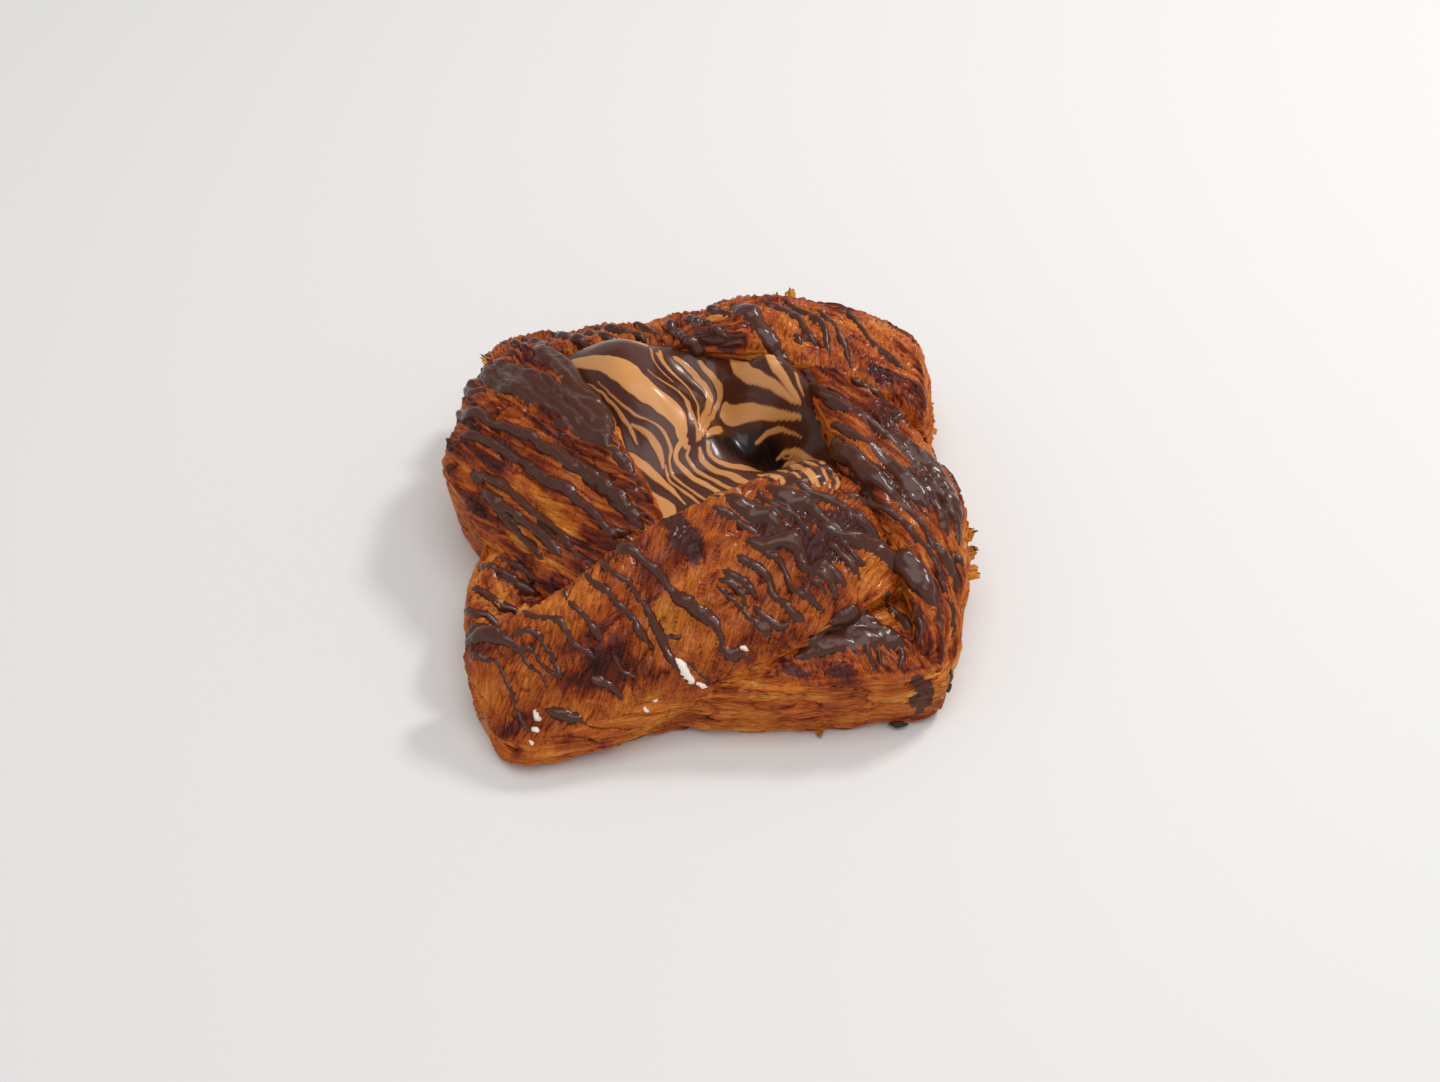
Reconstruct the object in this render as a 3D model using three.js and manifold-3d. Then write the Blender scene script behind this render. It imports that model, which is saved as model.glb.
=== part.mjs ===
// A square danish pastry: a block of laminated dough whose four cut corners are folded over as
// broad straps, each strap lying on the end of the next like a pinwheel. The middle is filled
// with marbled caramel, and chocolate is drizzled over the whole from corner to corner.
// Millimetres, +Z up, +X to the right and -Y to the front. The pastry stands on z = 0.

import * as THREE from 'three';
import * as BufferGeometryUtils from 'three/addons/utils/BufferGeometryUtils.js';
import Module from 'manifold-3d';

const wasm = await Module();
wasm.setup();

// Driving sizes of the whole.
const MIDDLE = [-1.4, -3.47];       // middle of the outline below, moved to the origin
const SEATING_GAP = 0.35;           // air between the dough and the filling
const GROUND = 0;
const SKY = 100;
const SMALLEST_STEP = 0.04;         // relief finer than this is left out

// The block under the straps: [x, y, top height] round its edge, from the front left.
const BLOCK_EDGE = [
  [-47, -46, 10], [-30, -50, 9], [-12, -52, 13], [8, -54, 17], [30, -52.5, 19], [44, -50, 18],
  [48, -47, 17], [49.5, -30, 17], [49, -8, 16], [46, 12, 15], [48, 34, 13], [42, 45, 13],
  [10, 49, 18], [-30, 46, 17], [-49, 42.5, 17], [-51, 22, 16], [-49.5, -8, 15], [-52.5, -28, 16],
];
const BLOCK_RINGS = [               // [inset, share of the top height] from the ground up
  [2.2, 0], [0.5, 0.16], [0, 0.42], [0.2, 0.7], [1.2, 0.88], [3.2, 0.985], [8, 1.08], [17, 1.16],
];
const BLOCK_STEPS = 48;

// Each strap from its free tip to its tucked end: [inner edge], [outer edge], crown, as x, y, z.
const STRAPS = {
  front: [
    [[-49.5, -47, 9], [-43, -60, 2.5], 3],
    [[-50.5, -41, 15], [-37, -62, 2], 5],
    [[-43, -40.5, 21], [-27, -60, 2.5], 6.5],
    [[-33, -38, 26], [-16, -56.5, 5], 6.5],
    [[-20, -29, 30], [-5, -53, 10], 5.5],
    [[-5, -19, 32], [9, -49.5, 15.5], 5.5],
    [[10, -10.5, 32], [21, -45, 19.5], 5.5],
    [[22, -7.5, 31.5], [30, -39.5, 22], 5],
    [[30, -9, 29], [37, -33.5, 20.5], 4.5],
    [[37, -11, 24], [43, -29, 14], 3],
  ],
  right: [
    [[40, -49, 14], [47, -48, 3], 3],
    [[41, -44, 20], [48.5, -43, 6], 4.5],
    [[40, -34, 25], [50.5, -31, 10], 5.5],
    [[36, -23, 28], [53.5, -17, 15], 6],
    [[29, -9, 30], [53, -5, 19], 6],
    [[26, 4, 30.5], [48, 5, 21.5], 5.5],
    [[23, 16, 30], [42, 15, 22.5], 5],
    [[18, 28, 27], [34, 26, 22], 4],
  ],
  tail: [
    [[20, 30, 26], [20, 52, 22], 5],
    [[6, 30, 29], [5, 53, 23], 6.5],
    [[-4, 30, 28.5], [-5, 50, 21], 6],
    [[-12, 30, 27], [-14, 49, 19], 4.5],
    [[-30, 30, 26.5], [-32, 47.5, 19], 4.5],
    [[-42, 31, 24], [-46, 47, 19], 4.5],
    [[-51, 33, 18], [-53.5, 45, 15], 4],
  ],
  back: [
    [[50.5, 19, 10], [51.5, 42, 11], 3],
    [[46.5, 18, 19], [48, 48.5, 16.5], 6],
    [[34, 22, 24], [38, 52, 19.5], 7.5],
    [[20, 27.5, 28], [23, 54.5, 21], 7.5],
    [[8, 28, 31], [12, 54, 24], 6.5],
    [[-4, 27, 31], [4, 50, 27], 4.5],
    [[-11, 27, 29], [-4, 45, 26], 3],
  ],
  left: [
    [[-42, 40, 20], [-52, 36, 17], 4],
    [[-37, 35.5, 27], [-53.5, 28, 21], 6],
    [[-31, 26, 30], [-56, 17.5, 20], 6.5],
    [[-23, 12, 31], [-58.5, 6, 18.5], 7],
    [[-17, -1, 29.5], [-52, -7, 15.5], 7],
    [[-11, -14, 27], [-40, -22, 15.5], 6],
    [[-6, -27, 21], [-26, -37, 14], 4],
  ],
};
const STRAP_STEPS = 22;
const STRAP_ARC_STEPS = 11;         // facets over a strap from edge to edge
const CROWN_SQUARENESS = 2.5;       // 2 is a plain ellipse
const STRAP_UNDERCUT = 2.5;         // how far a strap's foot stands in from its edge
const RIBS = 3;                     // long low ribs over a strap, where the layers show
const RIB_HEIGHT = 0.45;
const LUMP_HEIGHT = 0.6;
const LUMP_WAVES = [9, 5, 3];       // how fast the lumps change along, across and aslant

// Chocolate drizzled over the dough, seen from above: the places x, y where a line starts, is
// halfway and ends, and its width.
const DRIZZLE = {
  front: [
    [[-38.5, -40.5], [-32, -43.5], [-24, -50], 1.2],
    [[-30, -37], [-27.5, -42], [-22, -47], 1.4],
    [[-50, -41.5], [-44.5, -43], [-38, -47], 3],
    [[-40, -44.5], [-34, -47.5], [-30, -53], 1.2],
    [[-49.5, -45], [-42.5, -49.5], [-37, -59], 1.1],
    [[-33, -57], [-29.5, -57.5], [-25.5, -58.5], 2.4],
    [[-24, -52.5], [-21, -53], [-18, -55], 1.6],
    [[-26.5, -32], [-20.5, -39.5], [-12, -47], 1.5],
    [[-23.5, -30.5], [-13.5, -41], [-4.5, -52.5], 1.4],
    [[-20.5, -26.5], [-8, -38], [2.5, -48], 2.2],
    [[2.5, -34.5], [6, -36], [9, -39], 1.4],
    [[1, -37], [5, -39.5], [8, -43.5], 1.2],
    [[5, -31.5], [12, -37], [18.5, -43.5], 1.8],
    [[8.5, -41.5], [12, -44], [16, -44.5], 1.4],
    [[11, -30.5], [14.5, -34.5], [20, -41], 1.4],
    [[7.5, -28], [17, -30], [25, -39.5], 2.4],
    [[18, -38], [20.5, -40], [23, -41], 1.3],
    [[20.5, -33], [24, -34.5], [27, -37.5], 2.2],
    [[3, -18.5], [8.5, -21], [14, -24.5], 3.4],
    [[0.5, -21.5], [5, -23.5], [9.5, -26], 1.8],
    [[12, -15.5], [19.5, -19.5], [27, -26], 2.8],
    [[9.5, -16], [15, -20.5], [20.5, -27], 1.6],
    [[22, -24.5], [29.5, -26.5], [37, -28.5], 2.8],
    [[23.5, -28], [27, -31], [30, -34.5], 1.5],
  ],
  low: [
    [[-50, -19], [-44, -23.5], [-37, -28], 1.6],
    [[-44.5, -19], [-40, -22.5], [-35.5, -27.5], 1.2],
    [[-50.5, -25.5], [-45, -29.5], [-38, -32.5], 1.3],
    [[-52, -30], [-46, -33.5], [-42.5, -38.5], 1.5],
  ],
  right: [
    [[28.5, -15.5], [38, -19.5], [46, -28], 1.5],
    [[38, -27], [42, -32.5], [45.5, -38], 2.6],
    [[20.5, 26.5], [32, 8], [51.5, -15], 1.8],
    [[39, 5], [48.5, -4], [51.5, -18], 3.4],
    [[26, 6.5], [35, -3], [45, -16], 2.2],
    [[23.5, 7.5], [32, -8.5], [44.5, -22.5], 2.8],
    [[31.5, 25], [38.5, 21.5], [43.5, 17.5], 1.5],
    [[44.5, -9.5], [47, -14], [49.5, -20], 1.6],
  ],
  back: [
    [[-9.5, 44], [-8, 38.5], [-6.5, 33.5], 1.8],
    [[-5.5, 45], [-4, 40.5], [-3, 36], 2.1],
    [[5, 45.5], [10, 37.5], [16, 30], 3.8],
    [[12, 46.5], [19.5, 40.5], [23.5, 32.5], 2.2],
    [[18, 47], [24, 40.5], [26.5, 31], 1.8],
    [[24.5, 46], [28.5, 37], [31.5, 27], 1.4],
    [[31, 46], [36.5, 37], [43, 29], 1.5],
  ],
  tail: [
    [[-43.5, 44.5], [-39.5, 38], [-36, 33], 2],
    [[-36, 44.5], [-31.5, 40], [-28, 35.5], 2.5],
    [[-30.5, 45.5], [-26, 40.5], [-20.5, 37.5], 1.9],
    [[-19.5, 47], [-15.5, 43], [-12, 38.5], 1.5],
  ],
  left: [
    [[-50.5, 28], [-36.5, 15], [-22.5, -1.5], 5.5],
    [[-55, 15], [-35.5, 0.5], [-14.5, -20], 2.3],
    [[-54, 8.5], [-37, -5], [-21.5, -21.5], 1.8],
    [[-52, 0], [-41, -9.5], [-29, -22.5], 1.6],
    [[-49, -5], [-39.5, -15], [-31.5, -24], 1.8],
    [[-21.5, -2.5], [-18.5, -5.5], [-16.5, -8.5], 2.2],
  ],
};
const DRIZZLE_STEP = 6;
const DRIZZLE_FALL = 5;             // a line that would drop further than this in a step ends there
const DRIZZLE_HEIGHT = [0.4, 0.3, 1.3]; // a base, a share of the width, and the most
const DRIZZLE_TIP = 0.6;            // size of a line's ends against its middle
const DRIZZLE_WOBBLE = [0.35, 7];   // how far a line wanders, and over what length
const DRIZZLE_SECTION = [           // [share of the width, share of the height, depth sunk]
  [-0.5, 0, 0.25], [-0.3, 1, 0], [0.3, 1, 0], [0.5, 0, 0.25], [0.3, 0, 1.1], [-0.3, 0, 1.1],
];

// The pool of chocolate on the block's front right, an ellipse with a wavy edge.
const PUDDLE_MIDDLE = [28.5, -44.4];
const PUDDLE_HALF = [11.3, 3.9];    // half its length and half its width
const PUDDLE_TURN = 12;             // degrees that its length is turned to the left
const PUDDLE_STEPS = 12;
const PUDDLE_WAVES = [0.12, 3];     // share that the edge wanders, and how often round
const PUDDLE_HEIGHT = 1.2;
const PUDDLE_RINGS = [              // [share of the outline, height] from underneath to the top
  [0.6, -2], [1, -2], [1, 0.4], [0.75, PUDDLE_HEIGHT], [0.3, PUDDLE_HEIGHT],
];

// Torn flakes and burnt bits: [x, y, z of the root], turn of the tip in degrees, length, width.
const FLAKES = [
  [[52, -14, 17], 15, 4, 3], [[52.5, -17, 12], -35, 3.5, 2.5], [[51, -21, 14], -5, 3, 2],
  [[49, -43, 8], -10, 2.5, 3.5], [[18, 52, 29], 80, 3.5, 3], [[22, -51.5, 1.6], -95, 3, 2.5],
  [[37, -50.5, 1.4], -80, 2.5, 4], [[-50, 38, 22], 150, 4, 3], [[-53, 12, 22], 170, 3.5, 3],
];
const FLAKE_THICKNESS = 1.2;

// The filling: where its rim runs, and the swellings and dips of its top.
const FILLING_RIM = [
  [-35, 27], [-24, 33], [-8, 33.5], [8, 31.5], [21, 24], [27, 10], [28.5, -5], [20, -9], [6, -10],
  [-8, -19], [-16, -15], [-19, 0], [-26, 14],
];
const FILLING_LEVEL = 25.5;
const FILLING_FLOOR = 13;
const FILLING_SWELLS = [            // [x, y, height, radius along, radius across, turn in degrees]
  [-18, 20, 10, 18, 10, -45], [14, 22, 8.5, 10, 6.5, -20], [23, -5, 6, 8, 4, -30],
  [17, 8, -8.5, 8, 6, 10], [3, 17, -4, 9, 4, -70], [-2, 0, -2, 12, 8, 20],
];
const FILLING_RINGS = 9;
const FILLING_STEPS = 48;

const point = (p) => new THREE.Vector3(p[0] - MIDDLE[0], p[1] - MIDDLE[1], p[2]);

// Rings of points, each as long as the next, skinned into one closed body with capped ends.
function skin(rings) {
  const count = rings[0].length;
  const vertices = rings.flat();
  const triangles = [];
  for (let r = 0; r + 1 < rings.length; r += 1) {
    for (let i = 0; i < count; i += 1) {
      const j = (i + 1) % count;
      const [a, b] = [r * count + i, r * count + j];
      triangles.push(a, b, b + count, a, b + count, a + count);
    }
  }
  for (const [r, flip] of [[0, true], [rings.length - 1, false]]) {
    const hub = vertices.length;
    const centre = new THREE.Vector3();
    rings[r].forEach((p) => centre.addScaledVector(p, 1 / count));
    vertices.push(centre);
    for (let i = 0; i < count; i += 1) {
      const [a, b] = [r * count + i, r * count + ((i + 1) % count)];
      triangles.push(hub, ...(flip ? [b, a] : [a, b]));
    }
  }
  const geometry = new THREE.BufferGeometry();
  const flat = new Float32Array(vertices.flatMap((p) => [p.x, p.y, p.z]));
  geometry.setAttribute('position', new THREE.BufferAttribute(flat, 3));
  geometry.setIndex(triangles);
  return geometry;
}

function signedVolume(position, index) {
  const [a, b, c] = [new THREE.Vector3(), new THREE.Vector3(), new THREE.Vector3()];
  let sum = 0;
  for (let i = 0; i < index.count; i += 3) {
    a.fromBufferAttribute(position, index.getX(i));
    b.fromBufferAttribute(position, index.getX(i + 1));
    c.fromBufferAttribute(position, index.getX(i + 2));
    sum += a.dot(b.cross(c)) / 6;
  }
  return sum;
}

function toSolid(geometry) {
  const merged = BufferGeometryUtils.mergeVertices(geometry, 1e-5);
  const triangles = Uint32Array.from(merged.index.array);
  if (signedVolume(merged.attributes.position, merged.index) < 0) {
    for (let i = 0; i < triangles.length; i += 3) {
      [triangles[i], triangles[i + 1]] = [triangles[i + 1], triangles[i]];
    }
  }
  return new wasm.Manifold(new wasm.Mesh({
    numProp: 3, vertProperties: merged.attributes.position.array, triVerts: triangles,
  }));
}

function toGeometry(solid) {
  const mesh = solid.getMesh();
  const geometry = new THREE.BufferGeometry();
  geometry.setAttribute('position', new THREE.BufferAttribute(mesh.vertProperties, 3));
  geometry.setIndex(new THREE.BufferAttribute(mesh.triVerts, 1));
  return geometry;
}

// The block: its outline drawn in by each ring's inset and lifted to its share of the height.
function blockSolid() {
  const edge = new THREE.CatmullRomCurve3(BLOCK_EDGE.map(point), true, 'centripetal');
  const rings = BLOCK_RINGS.map(([inset, share]) => Array.from({ length: BLOCK_STEPS }, (_, i) => {
    const at = edge.getPoint(i / BLOCK_STEPS);
    const length = Math.hypot(at.x, at.y);
    const kept = (length - inset) / length;
    return new THREE.Vector3(at.x * kept, at.y * kept, at.z * share);
  }));
  return toSolid(skin(rings));
}

// How far the ribs and lumps of a strap stand out, along it and across it.
function relief(u, share, phase) {
  const [along, across, aslant] = LUMP_WAVES;
  const rib = RIB_HEIGHT * Math.sin(2 * Math.PI * RIBS * share + Math.sin(aslant * u + phase));
  const lump = LUMP_HEIGHT * Math.sin(along * u + phase) * Math.sin(across * share + aslant * u);
  return rib + lump;
}

// A strap: its two edges are smooth curves, and each section bulges between them and stands
// on the ground.
function strapSolid(stations) {
  const inner = new THREE.CatmullRomCurve3(stations.map((s) => point(s[0])));
  const outer = new THREE.CatmullRomCurve3(stations.map((s) => point(s[1])));
  const crowns = new THREE.CatmullRomCurve3(stations.map((s) => new THREE.Vector3(s[2], 0, 0)));
  const phase = stations.length;
  const rings = Array.from({ length: STRAP_STEPS + 1 }, (_, step) => {
    const u = step / STRAP_STEPS;
    const [a, b] = [inner.getPoint(u), outer.getPoint(u)];
    const crown = crowns.getPoint(u).x;
    const across = b.clone().sub(a).normalize();
    const lift = new THREE.Vector3(0, 0, 1).addScaledVector(across, -across.z).normalize();
    const ring = Array.from({ length: STRAP_ARC_STEPS + 1 }, (__, k) => {
      const share = (1 - Math.cos((Math.PI * k) / STRAP_ARC_STEPS)) / 2;
      const rise = (1 - Math.abs(2 * share - 1) ** CROWN_SQUARENESS) ** (1 / CROWN_SQUARENESS);
      return a.clone().lerp(b, share).addScaledVector(lift, (crown + relief(u, share, phase)) * rise);
    });
    const inward = new THREE.Vector3(across.x, across.y, 0).normalize().multiplyScalar(STRAP_UNDERCUT);
    const footB = new THREE.Vector3(b.x - inward.x, b.y - inward.y, GROUND);
    const footA = new THREE.Vector3(a.x + inward.x, a.y + inward.y, GROUND);
    return [...ring, footB, footA];
  });
  return toSolid(skin(rings));
}

// Finds where the dough's surface lies straight under a place in the plan.
function surfaceFinder(solid) {
  const mesh = new THREE.Mesh(toGeometry(solid));
  const ray = new THREE.Raycaster();
  const down = new THREE.Vector3(0, 0, -1);
  return (x, y) => {
    ray.set(new THREE.Vector3(x, y, SKY), down);
    const hit = ray.intersectObject(mesh)[0];
    return hit && { at: hit.point, normal: hit.face.normal.clone() };
  };
}

// The longest run of places that doesn't fall over an edge.
function unbrokenRun(hits) {
  const runs = [[]];
  hits.forEach((hit, i) => {
    const falls = i > 0 && Math.abs(hit.at.z - hits[i - 1].at.z) > DRIZZLE_FALL;
    if (falls) {
      runs.push([]);
    }
    runs[runs.length - 1].push(hit);
  });
  return runs.reduce((best, run) => (run.length > best.length ? run : best));
}

// One line of chocolate, half sunk into what it lies on.
function drizzleSolid([from, halfway, to, width], find) {
  const [start, middle, end] = [from, halfway, to].map(([x, y]) => point([x, y, 0]));
  const path = new THREE.CatmullRomCurve3([start, middle, end]);
  const length = start.distanceTo(end);
  const left = new THREE.Vector3(start.y - end.y, end.x - start.x, 0).divideScalar(length);
  const steps = Math.max(2, Math.round(length / DRIZZLE_STEP));
  const [reach, wave] = DRIZZLE_WOBBLE;
  const hits = unbrokenRun(Array.from({ length: steps + 1 }, (_, i) => {
    const t = i / steps;
    const side = reach * Math.sin((2 * Math.PI * length * t) / wave + start.x);
    const at = path.getPoint(t).addScaledVector(left, side);
    return find(at.x, at.y);
  }).filter(Boolean));
  const [base, share, most] = DRIZZLE_HEIGHT;
  const height = Math.min(base + share * width, most);
  const rings = hits.map((hit, i) => {
    const [before, after] = [hits[Math.max(i - 1, 0)], hits[Math.min(i + 1, hits.length - 1)]];
    const along = after.at.clone().sub(before.at).normalize();
    const up = before.normal.clone().add(hit.normal).add(after.normal);
    up.addScaledVector(along, -up.dot(along)).normalize();
    const over = new THREE.Vector3().crossVectors(along, up);
    const full = i === 0 || i === hits.length - 1 ? DRIZZLE_TIP : 1;
    return DRIZZLE_SECTION.map(([aside, high, sunk]) => hit.at.clone()
      .addScaledVector(over, aside * width * full)
      .addScaledVector(up, high * height * full - sunk));
  });
  return toSolid(skin(rings));
}

// The pool of chocolate: its edge set on the dough and domed towards its middle.
function puddleSolid(find) {
  const up = new THREE.Vector3(0, 0, 1);
  const turn = THREE.MathUtils.degToRad(PUDDLE_TURN);
  const [halfLength, halfWidth] = PUDDLE_HALF;
  const [reach, waves] = PUDDLE_WAVES;
  const ring = (share, height) => Array.from({ length: PUDDLE_STEPS }, (_, i) => {
    const angle = (2 * Math.PI * i) / PUDDLE_STEPS;
    const out = new THREE.Vector3(halfLength * Math.cos(angle), halfWidth * Math.sin(angle), 0);
    out.multiplyScalar(share * (1 + reach * Math.sin(waves * angle))).applyAxisAngle(up, turn);
    const at = point([...PUDDLE_MIDDLE, 0]).add(out);
    return at.setZ(find(at.x, at.y).at.z + height);
  });
  return toSolid(skin(PUDDLE_RINGS.map(([share, height]) => ring(share, height))));
}

// A flake: a thin pointed scale whose root is inside the dough.
function flakeSolid([root, degrees, length, width]) {
  const scale = new THREE.ConeGeometry(0.5, 1, 5);
  scale.deleteAttribute('normal');
  scale.deleteAttribute('uv');
  scale.rotateZ(-Math.PI / 2);
  scale.scale(2 * length, width, FLAKE_THICKNESS);
  scale.rotateZ(THREE.MathUtils.degToRad(degrees));
  const at = point(root);
  scale.translate(at.x, at.y, at.z);
  return toSolid(scale);
}

// Height of the filling's top over a place in the plan.
function fillingTop(x, y) {
  return FILLING_SWELLS.reduce((top, [cx, cy, height, along, over, degrees]) => {
    const turn = THREE.MathUtils.degToRad(degrees);
    const [dx, dy] = [x + MIDDLE[0] - cx, y + MIDDLE[1] - cy];
    const p = (dx * Math.cos(turn) + dy * Math.sin(turn)) / along;
    const q = (-dx * Math.sin(turn) + dy * Math.cos(turn)) / over;
    return top + height * Math.exp(-(p * p + q * q));
  }, FILLING_LEVEL);
}

// The filling, grown on every side by the given amount when it cuts its own seat.
function fillingSolid(grow) {
  const rim = new THREE.CatmullRomCurve3(FILLING_RIM.map(([x, y]) => point([x, y, 0])), true, 'centripetal');
  const hub = new THREE.Vector3();
  FILLING_RIM.forEach(([x, y]) => hub.addScaledVector(point([x, y, 0]), 1 / FILLING_RIM.length));
  const ringAt = (share, height) => Array.from({ length: FILLING_STEPS }, (_, i) => {
    const at = rim.getPoint(i / FILLING_STEPS).sub(hub);
    const reach = share + grow / at.length();
    const [x, y] = [hub.x + at.x * reach, hub.y + at.y * reach];
    return new THREE.Vector3(x, y, height === undefined ? fillingTop(x, y) + grow : height - grow);
  });
  const rings = [ringAt(0.05, FILLING_FLOOR), ringAt(0.9, FILLING_FLOOR)];
  for (let r = FILLING_RINGS; r > 0; r -= 1) {
    rings.push(ringAt((r / FILLING_RINGS) ** 0.8));
  }
  rings.push(ringAt(0.02));
  return toSolid(skin(rings));
}

const bakedDough = new THREE.MeshStandardMaterial({ color: 0xb4642a, roughness: 0.45, metalness: 0 });
const caramel = new THREE.MeshStandardMaterial({ color: 0xb98550, roughness: 0.2, metalness: 0 });

function named(name, solid, material) {
  const mesh = new THREE.Mesh(toGeometry(solid), material);
  mesh.name = name;
  return mesh;
}

let dough = blockSolid();
for (const stations of Object.values(STRAPS)) {
  dough = dough.add(strapSolid(stations));
}
const find = surfaceFinder(dough);
for (const line of Object.values(DRIZZLE).flat()) {
  dough = dough.add(drizzleSolid(line, find));
}
dough = dough.add(puddleSolid(find));
for (const flake of FLAKES) {
  dough = dough.add(flakeSolid(flake));
}
dough = dough.subtract(fillingSolid(SEATING_GAP)).simplify(SMALLEST_STEP);

const pastry = new THREE.Group();
pastry.add(named('pastry', dough, bakedDough));
pastry.add(named('filling', fillingSolid(0), caramel));

export default pastry;
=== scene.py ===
# A danish pastry with folded corners, marbled caramel and drizzled chocolate, dressed round its
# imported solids. Drawing sizes are in millimetres and are turned to metres when a mesh is made.
import math

import bpy
import numpy as np
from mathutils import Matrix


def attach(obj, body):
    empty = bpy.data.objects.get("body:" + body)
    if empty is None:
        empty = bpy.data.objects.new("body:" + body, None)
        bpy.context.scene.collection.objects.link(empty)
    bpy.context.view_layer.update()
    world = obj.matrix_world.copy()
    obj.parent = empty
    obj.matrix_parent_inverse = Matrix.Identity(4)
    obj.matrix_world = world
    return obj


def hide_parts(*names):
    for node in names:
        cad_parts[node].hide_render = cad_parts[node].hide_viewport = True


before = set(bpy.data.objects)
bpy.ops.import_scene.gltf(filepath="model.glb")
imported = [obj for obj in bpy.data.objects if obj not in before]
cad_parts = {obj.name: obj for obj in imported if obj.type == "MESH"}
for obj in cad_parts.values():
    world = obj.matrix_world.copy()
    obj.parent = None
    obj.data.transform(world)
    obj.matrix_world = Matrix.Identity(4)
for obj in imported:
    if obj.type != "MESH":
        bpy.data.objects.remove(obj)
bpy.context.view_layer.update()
mm = 0.001
drawingMiddle = np.array([-1.4, -3.47, 0.0])  # middle of the drawing, which lies on the origin
noiseCells = 256  # how soon a noise repeats itself
noiseGain = 1.5  # brings it to about -1 to 1
strokeSteps = 20  # points of a smooth stroke for each place that it is given by
nearNothing = 1e-9  # keeps a length that is divided by from being nothing

# Curves, noise and meshes


# A smooth closed or open curve through the points, at the given shares of its way.
def curveThrough(points, places, closed=False):
    points = np.asarray(points, float)
    count = len(points)
    spot = np.asarray(places, float) * (count if closed else count - 1)
    first = np.floor(spot).astype(int)
    if not closed:
        first = np.clip(first, 0, count - 2)
    weight = (spot - first)[:, None]
    if closed:
        p0, p1, p2, p3 = (points[(first + k) % count] for k in (-1, 0, 1, 2))
    else:
        longer = np.vstack([2 * points[0] - points[1], points, 2 * points[-1] - points[-2]])
        p0, p1, p2, p3 = (longer[first + k] for k in (0, 1, 2, 3))
    pairs = ((p0, p1), (p1, p2), (p2, p3))
    gap0, gap1, gap2 = (np.sqrt(np.linalg.norm(b - a, axis=1, keepdims=True)) for a, b in pairs)
    closest = 1e-4
    gap1 = np.where(gap1 < closest, 1, gap1)
    gap0 = np.where(gap0 < closest, gap1, gap0)
    gap2 = np.where(gap2 < closest, gap1, gap2)
    start = ((p1 - p0) / gap0 - (p2 - p0) / (gap0 + gap1) + (p2 - p1) / gap1) * gap1
    end = ((p2 - p1) / gap1 - (p3 - p1) / (gap1 + gap2) + (p3 - p2) / gap2) * gap1
    c2 = -3 * p1 + 3 * p2 - 2 * start - end
    c3 = 2 * p1 - 2 * p2 + start + end
    return p1 + weight * (start + weight * (c2 + weight * c3))


# A smooth line through the few places that a stroke is given by.
def smoothStroke(stroke):
    return curveThrough(stroke, np.linspace(0, 1, strokeSteps * len(stroke)))


# How far along its line each point lies, for the lines that run in one direction of a grid.
def runAlong(points, direction=0):
    steps = np.linalg.norm(np.diff(points, axis=direction), axis=-1)
    start = np.zeros_like(np.take(steps, [0], axis=direction))
    return np.concatenate([start, np.cumsum(steps, axis=direction)], axis=direction)


# Smooth noise of about -1 to 1 over a plane, the same each run.
def softNoise(x, y, seed):
    rng = np.random.default_rng(seed)
    table = rng.permutation(noiseCells)
    turn = rng.uniform(0, 2 * math.pi, noiseCells)
    left = np.floor(x).astype(int)
    low = np.floor(y).astype(int)
    dx = x - left
    dy = y - low

    # from 0 to 1, level at both ends
    def ease(share):
        return share * share * share * (share * (share * 6 - 15) + 10)

    def corner(i, j):
        angle = turn[table[(table[(left + i) % noiseCells] + low + j) % noiseCells]]
        return np.cos(angle) * (dx - i) + np.sin(angle) * (dy - j)

    u = ease(dx)
    v = ease(dy)
    bottom = corner(0, 0) * (1 - u) + corner(1, 0) * u
    top = corner(0, 1) * (1 - u) + corner(1, 1) * u
    return noiseGain * (bottom * (1 - v) + top * v)


# Noises over one another, each given by its height, size and seed.
def layeredNoise(x, y, noises):
    return sum(height * softNoise(x / size, y / size, seed) for height, size, seed in noises)


def smoothStep(value, low, high):
    share = np.clip((value - low) / (high - low), 0, 1)
    return share * share * (3 - 2 * share)


# Unit normals of a grid of rings, turned away from its middle.
def gridNormals(grid):
    along = np.gradient(grid, axis=0)
    over = (np.roll(grid, -1, axis=1) - np.roll(grid, 1, axis=1)) / 2
    normal = np.cross(along, over)
    normal /= np.linalg.norm(normal, axis=2, keepdims=True) + nearNothing
    facing = np.sum(normal * (grid - grid.mean(axis=(0, 1))))
    return normal if facing > 0 else -normal


# Faces of a grid of rings, each closed round its columns.
def gridFaces(rows, columns):
    row = np.arange(rows - 1)[:, None] * columns
    column = np.arange(columns)[None, :]
    beside = (column + 1) % columns
    corners = [row + column, row + beside, row + columns + beside, row + columns + column]
    return np.stack(corners, axis=-1).reshape(-1, 4)


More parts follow.
